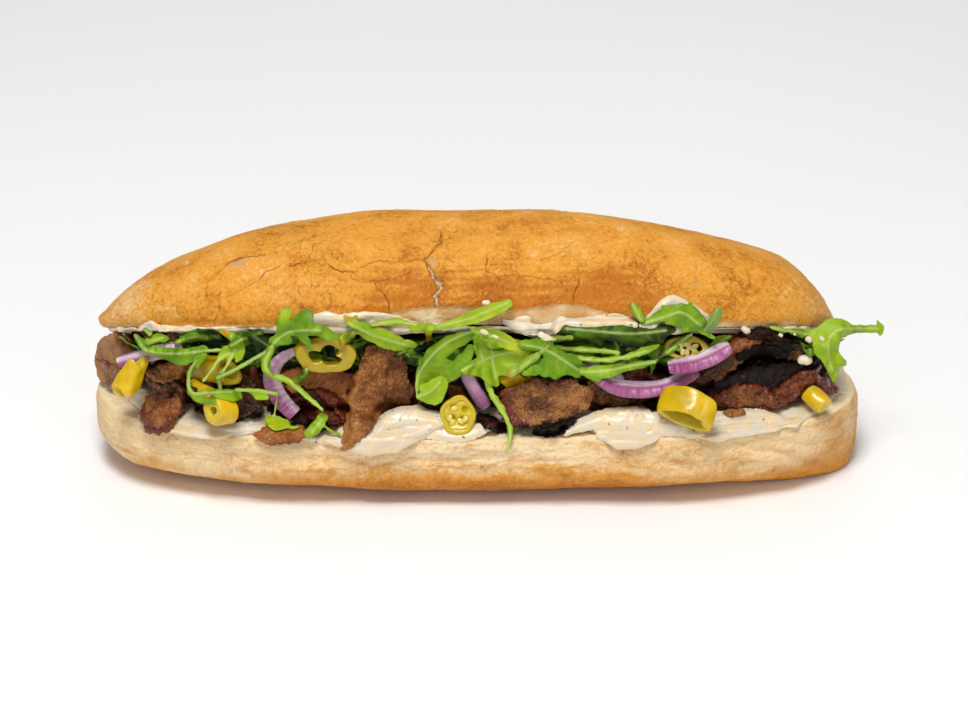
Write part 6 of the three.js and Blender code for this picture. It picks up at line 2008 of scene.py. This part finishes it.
for name in ("bread_lower", "bread_upper"):
    addToPile(vertexRows(bpy.data.objects[name].data) / mm)
makeLowerSauce()
makeUpperSauce()
for name, plan in mounds.items():
    makeMound(name, plan)
print("sauce")
makeBeefBed()
makeRocketBed()
print("beds")
for number in (2, 8, 7, 3):
    makePepper("pepper_ring_%02d" % number)
for order, number in enumerate((2, 4)):
    makeOnion("onion_strip_%02d" % number, order)
makeLeaf("rocket_10", leaves["rocket_leaf_10"], 10, "rocket_leaf_10")
for order, (node, plan) in enumerate(meatPlan.items()):
    makeSlice(node, plan, order)
for order, (name, plan) in enumerate(scraps.items()):
    makeScrap(name, *plan, seed=order)
print("beef")
for number in (1, 3, 6, 5, 7):
    makeOnion("onion_strip_%02d" % number, number)
for number in (1, 4, 5, 6, 9, 10):
    makePepper("pepper_ring_%02d" % number)
makeSeeds()
print("peppers and onion")
for name, (lines, rise) in smears.items():
    makeSmear(name, lines, rise, *(["sauce_smear"] if name == "sauce_smear_lip" else []))
for order, (node, plan) in enumerate(leaves.items()):
    if node != "rocket_leaf_10":
        makeLeaf(node.replace("leaf_", "").replace("stalk_", "stem_"), plan, 20 + order, node)
for order, (name, plan) in enumerate(smallLeaves.items()):
    makeLeaf(name, plan, 60 + order)
for name, (lines, rise) in smearDrops.items():
    makeSmear(name, lines, rise, bead=True)
print("rocket and drops")
makeBits()
print("herbs and crumbs")


# The studio: a pale floor, soft light and the camera at the photograph's angle
studio = {
    "floor": ((246, 246, 245), (250, 250, 249)),
    "sky": 0.31,
    "lookAt": (0, 0, 0.04),
    "lamps": {                 # place, size and power
        "keyLight": ((-0.12, -0.5, 1.3), 0.42, 14.4),
        "fillLight": ((0.06, -1.2, 0.5), 1.5, 4.2),
        "backLight": ((0.1, 0.9, 1.0), 0.9, 2.0),
    },
}


def makeStudio():
    floorMaterial, tree, shader = newMaterial("paleFloor", {"Roughness": 0.6, "Specular IOR Level": 0.2})
    tone = grain(tree, 40.0, 6.0, 0.3, 300.0)[1]
    setSurface(shader, tone.blend(*studio["floor"]))
    bpy.ops.mesh.primitive_plane_add(size=8, location=(0, 1.5, -0.0004))
    floor = bpy.context.object
    floor.name = "studio_floor"
    floor.data.materials.append(floorMaterial)
    world = bpy.data.worlds.new("softSky")
    bpy.context.scene.world = world
    world.use_nodes = True
    sky = world.node_tree.nodes["Background"]
    sky.inputs["Color"].default_value = (1.0, 1.0, 1.0, 1)
    sky.inputs["Strength"].default_value = studio["sky"]
    for name, (place, size, power) in studio["lamps"].items():
        light = bpy.data.lights.new(name, "AREA")
        light.size = size
        light.energy = power
        lamp = bpy.data.objects.new(name, light)
        lamp.location = place
        lamp.rotation_euler = (Vector(studio["lookAt"]) - Vector(place)).to_track_quat("-Z", "Y").to_euler()
        bpy.context.scene.collection.objects.link(lamp)


def makeCamera():
    tilt = math.radians(lens["elevation"])
    aim = Vector(lens["aim"])
    camera = bpy.data.objects.new("photoCamera", bpy.data.cameras.new("photoCamera"))
    camera.location = aim + lens["distance"] * Vector((0, -math.cos(tilt), math.sin(tilt)))
    camera.rotation_euler = (math.pi / 2 - tilt, 0, 0)
    camera.data.lens = lens["focal"]
    camera.data.sensor_width = lens["sensor"]
    bpy.context.scene.collection.objects.link(camera)
    bpy.context.scene.camera = camera
    bpy.context.scene.view_settings.view_transform = "Standard"


makeStudio()
makeCamera()
print("studio and camera")
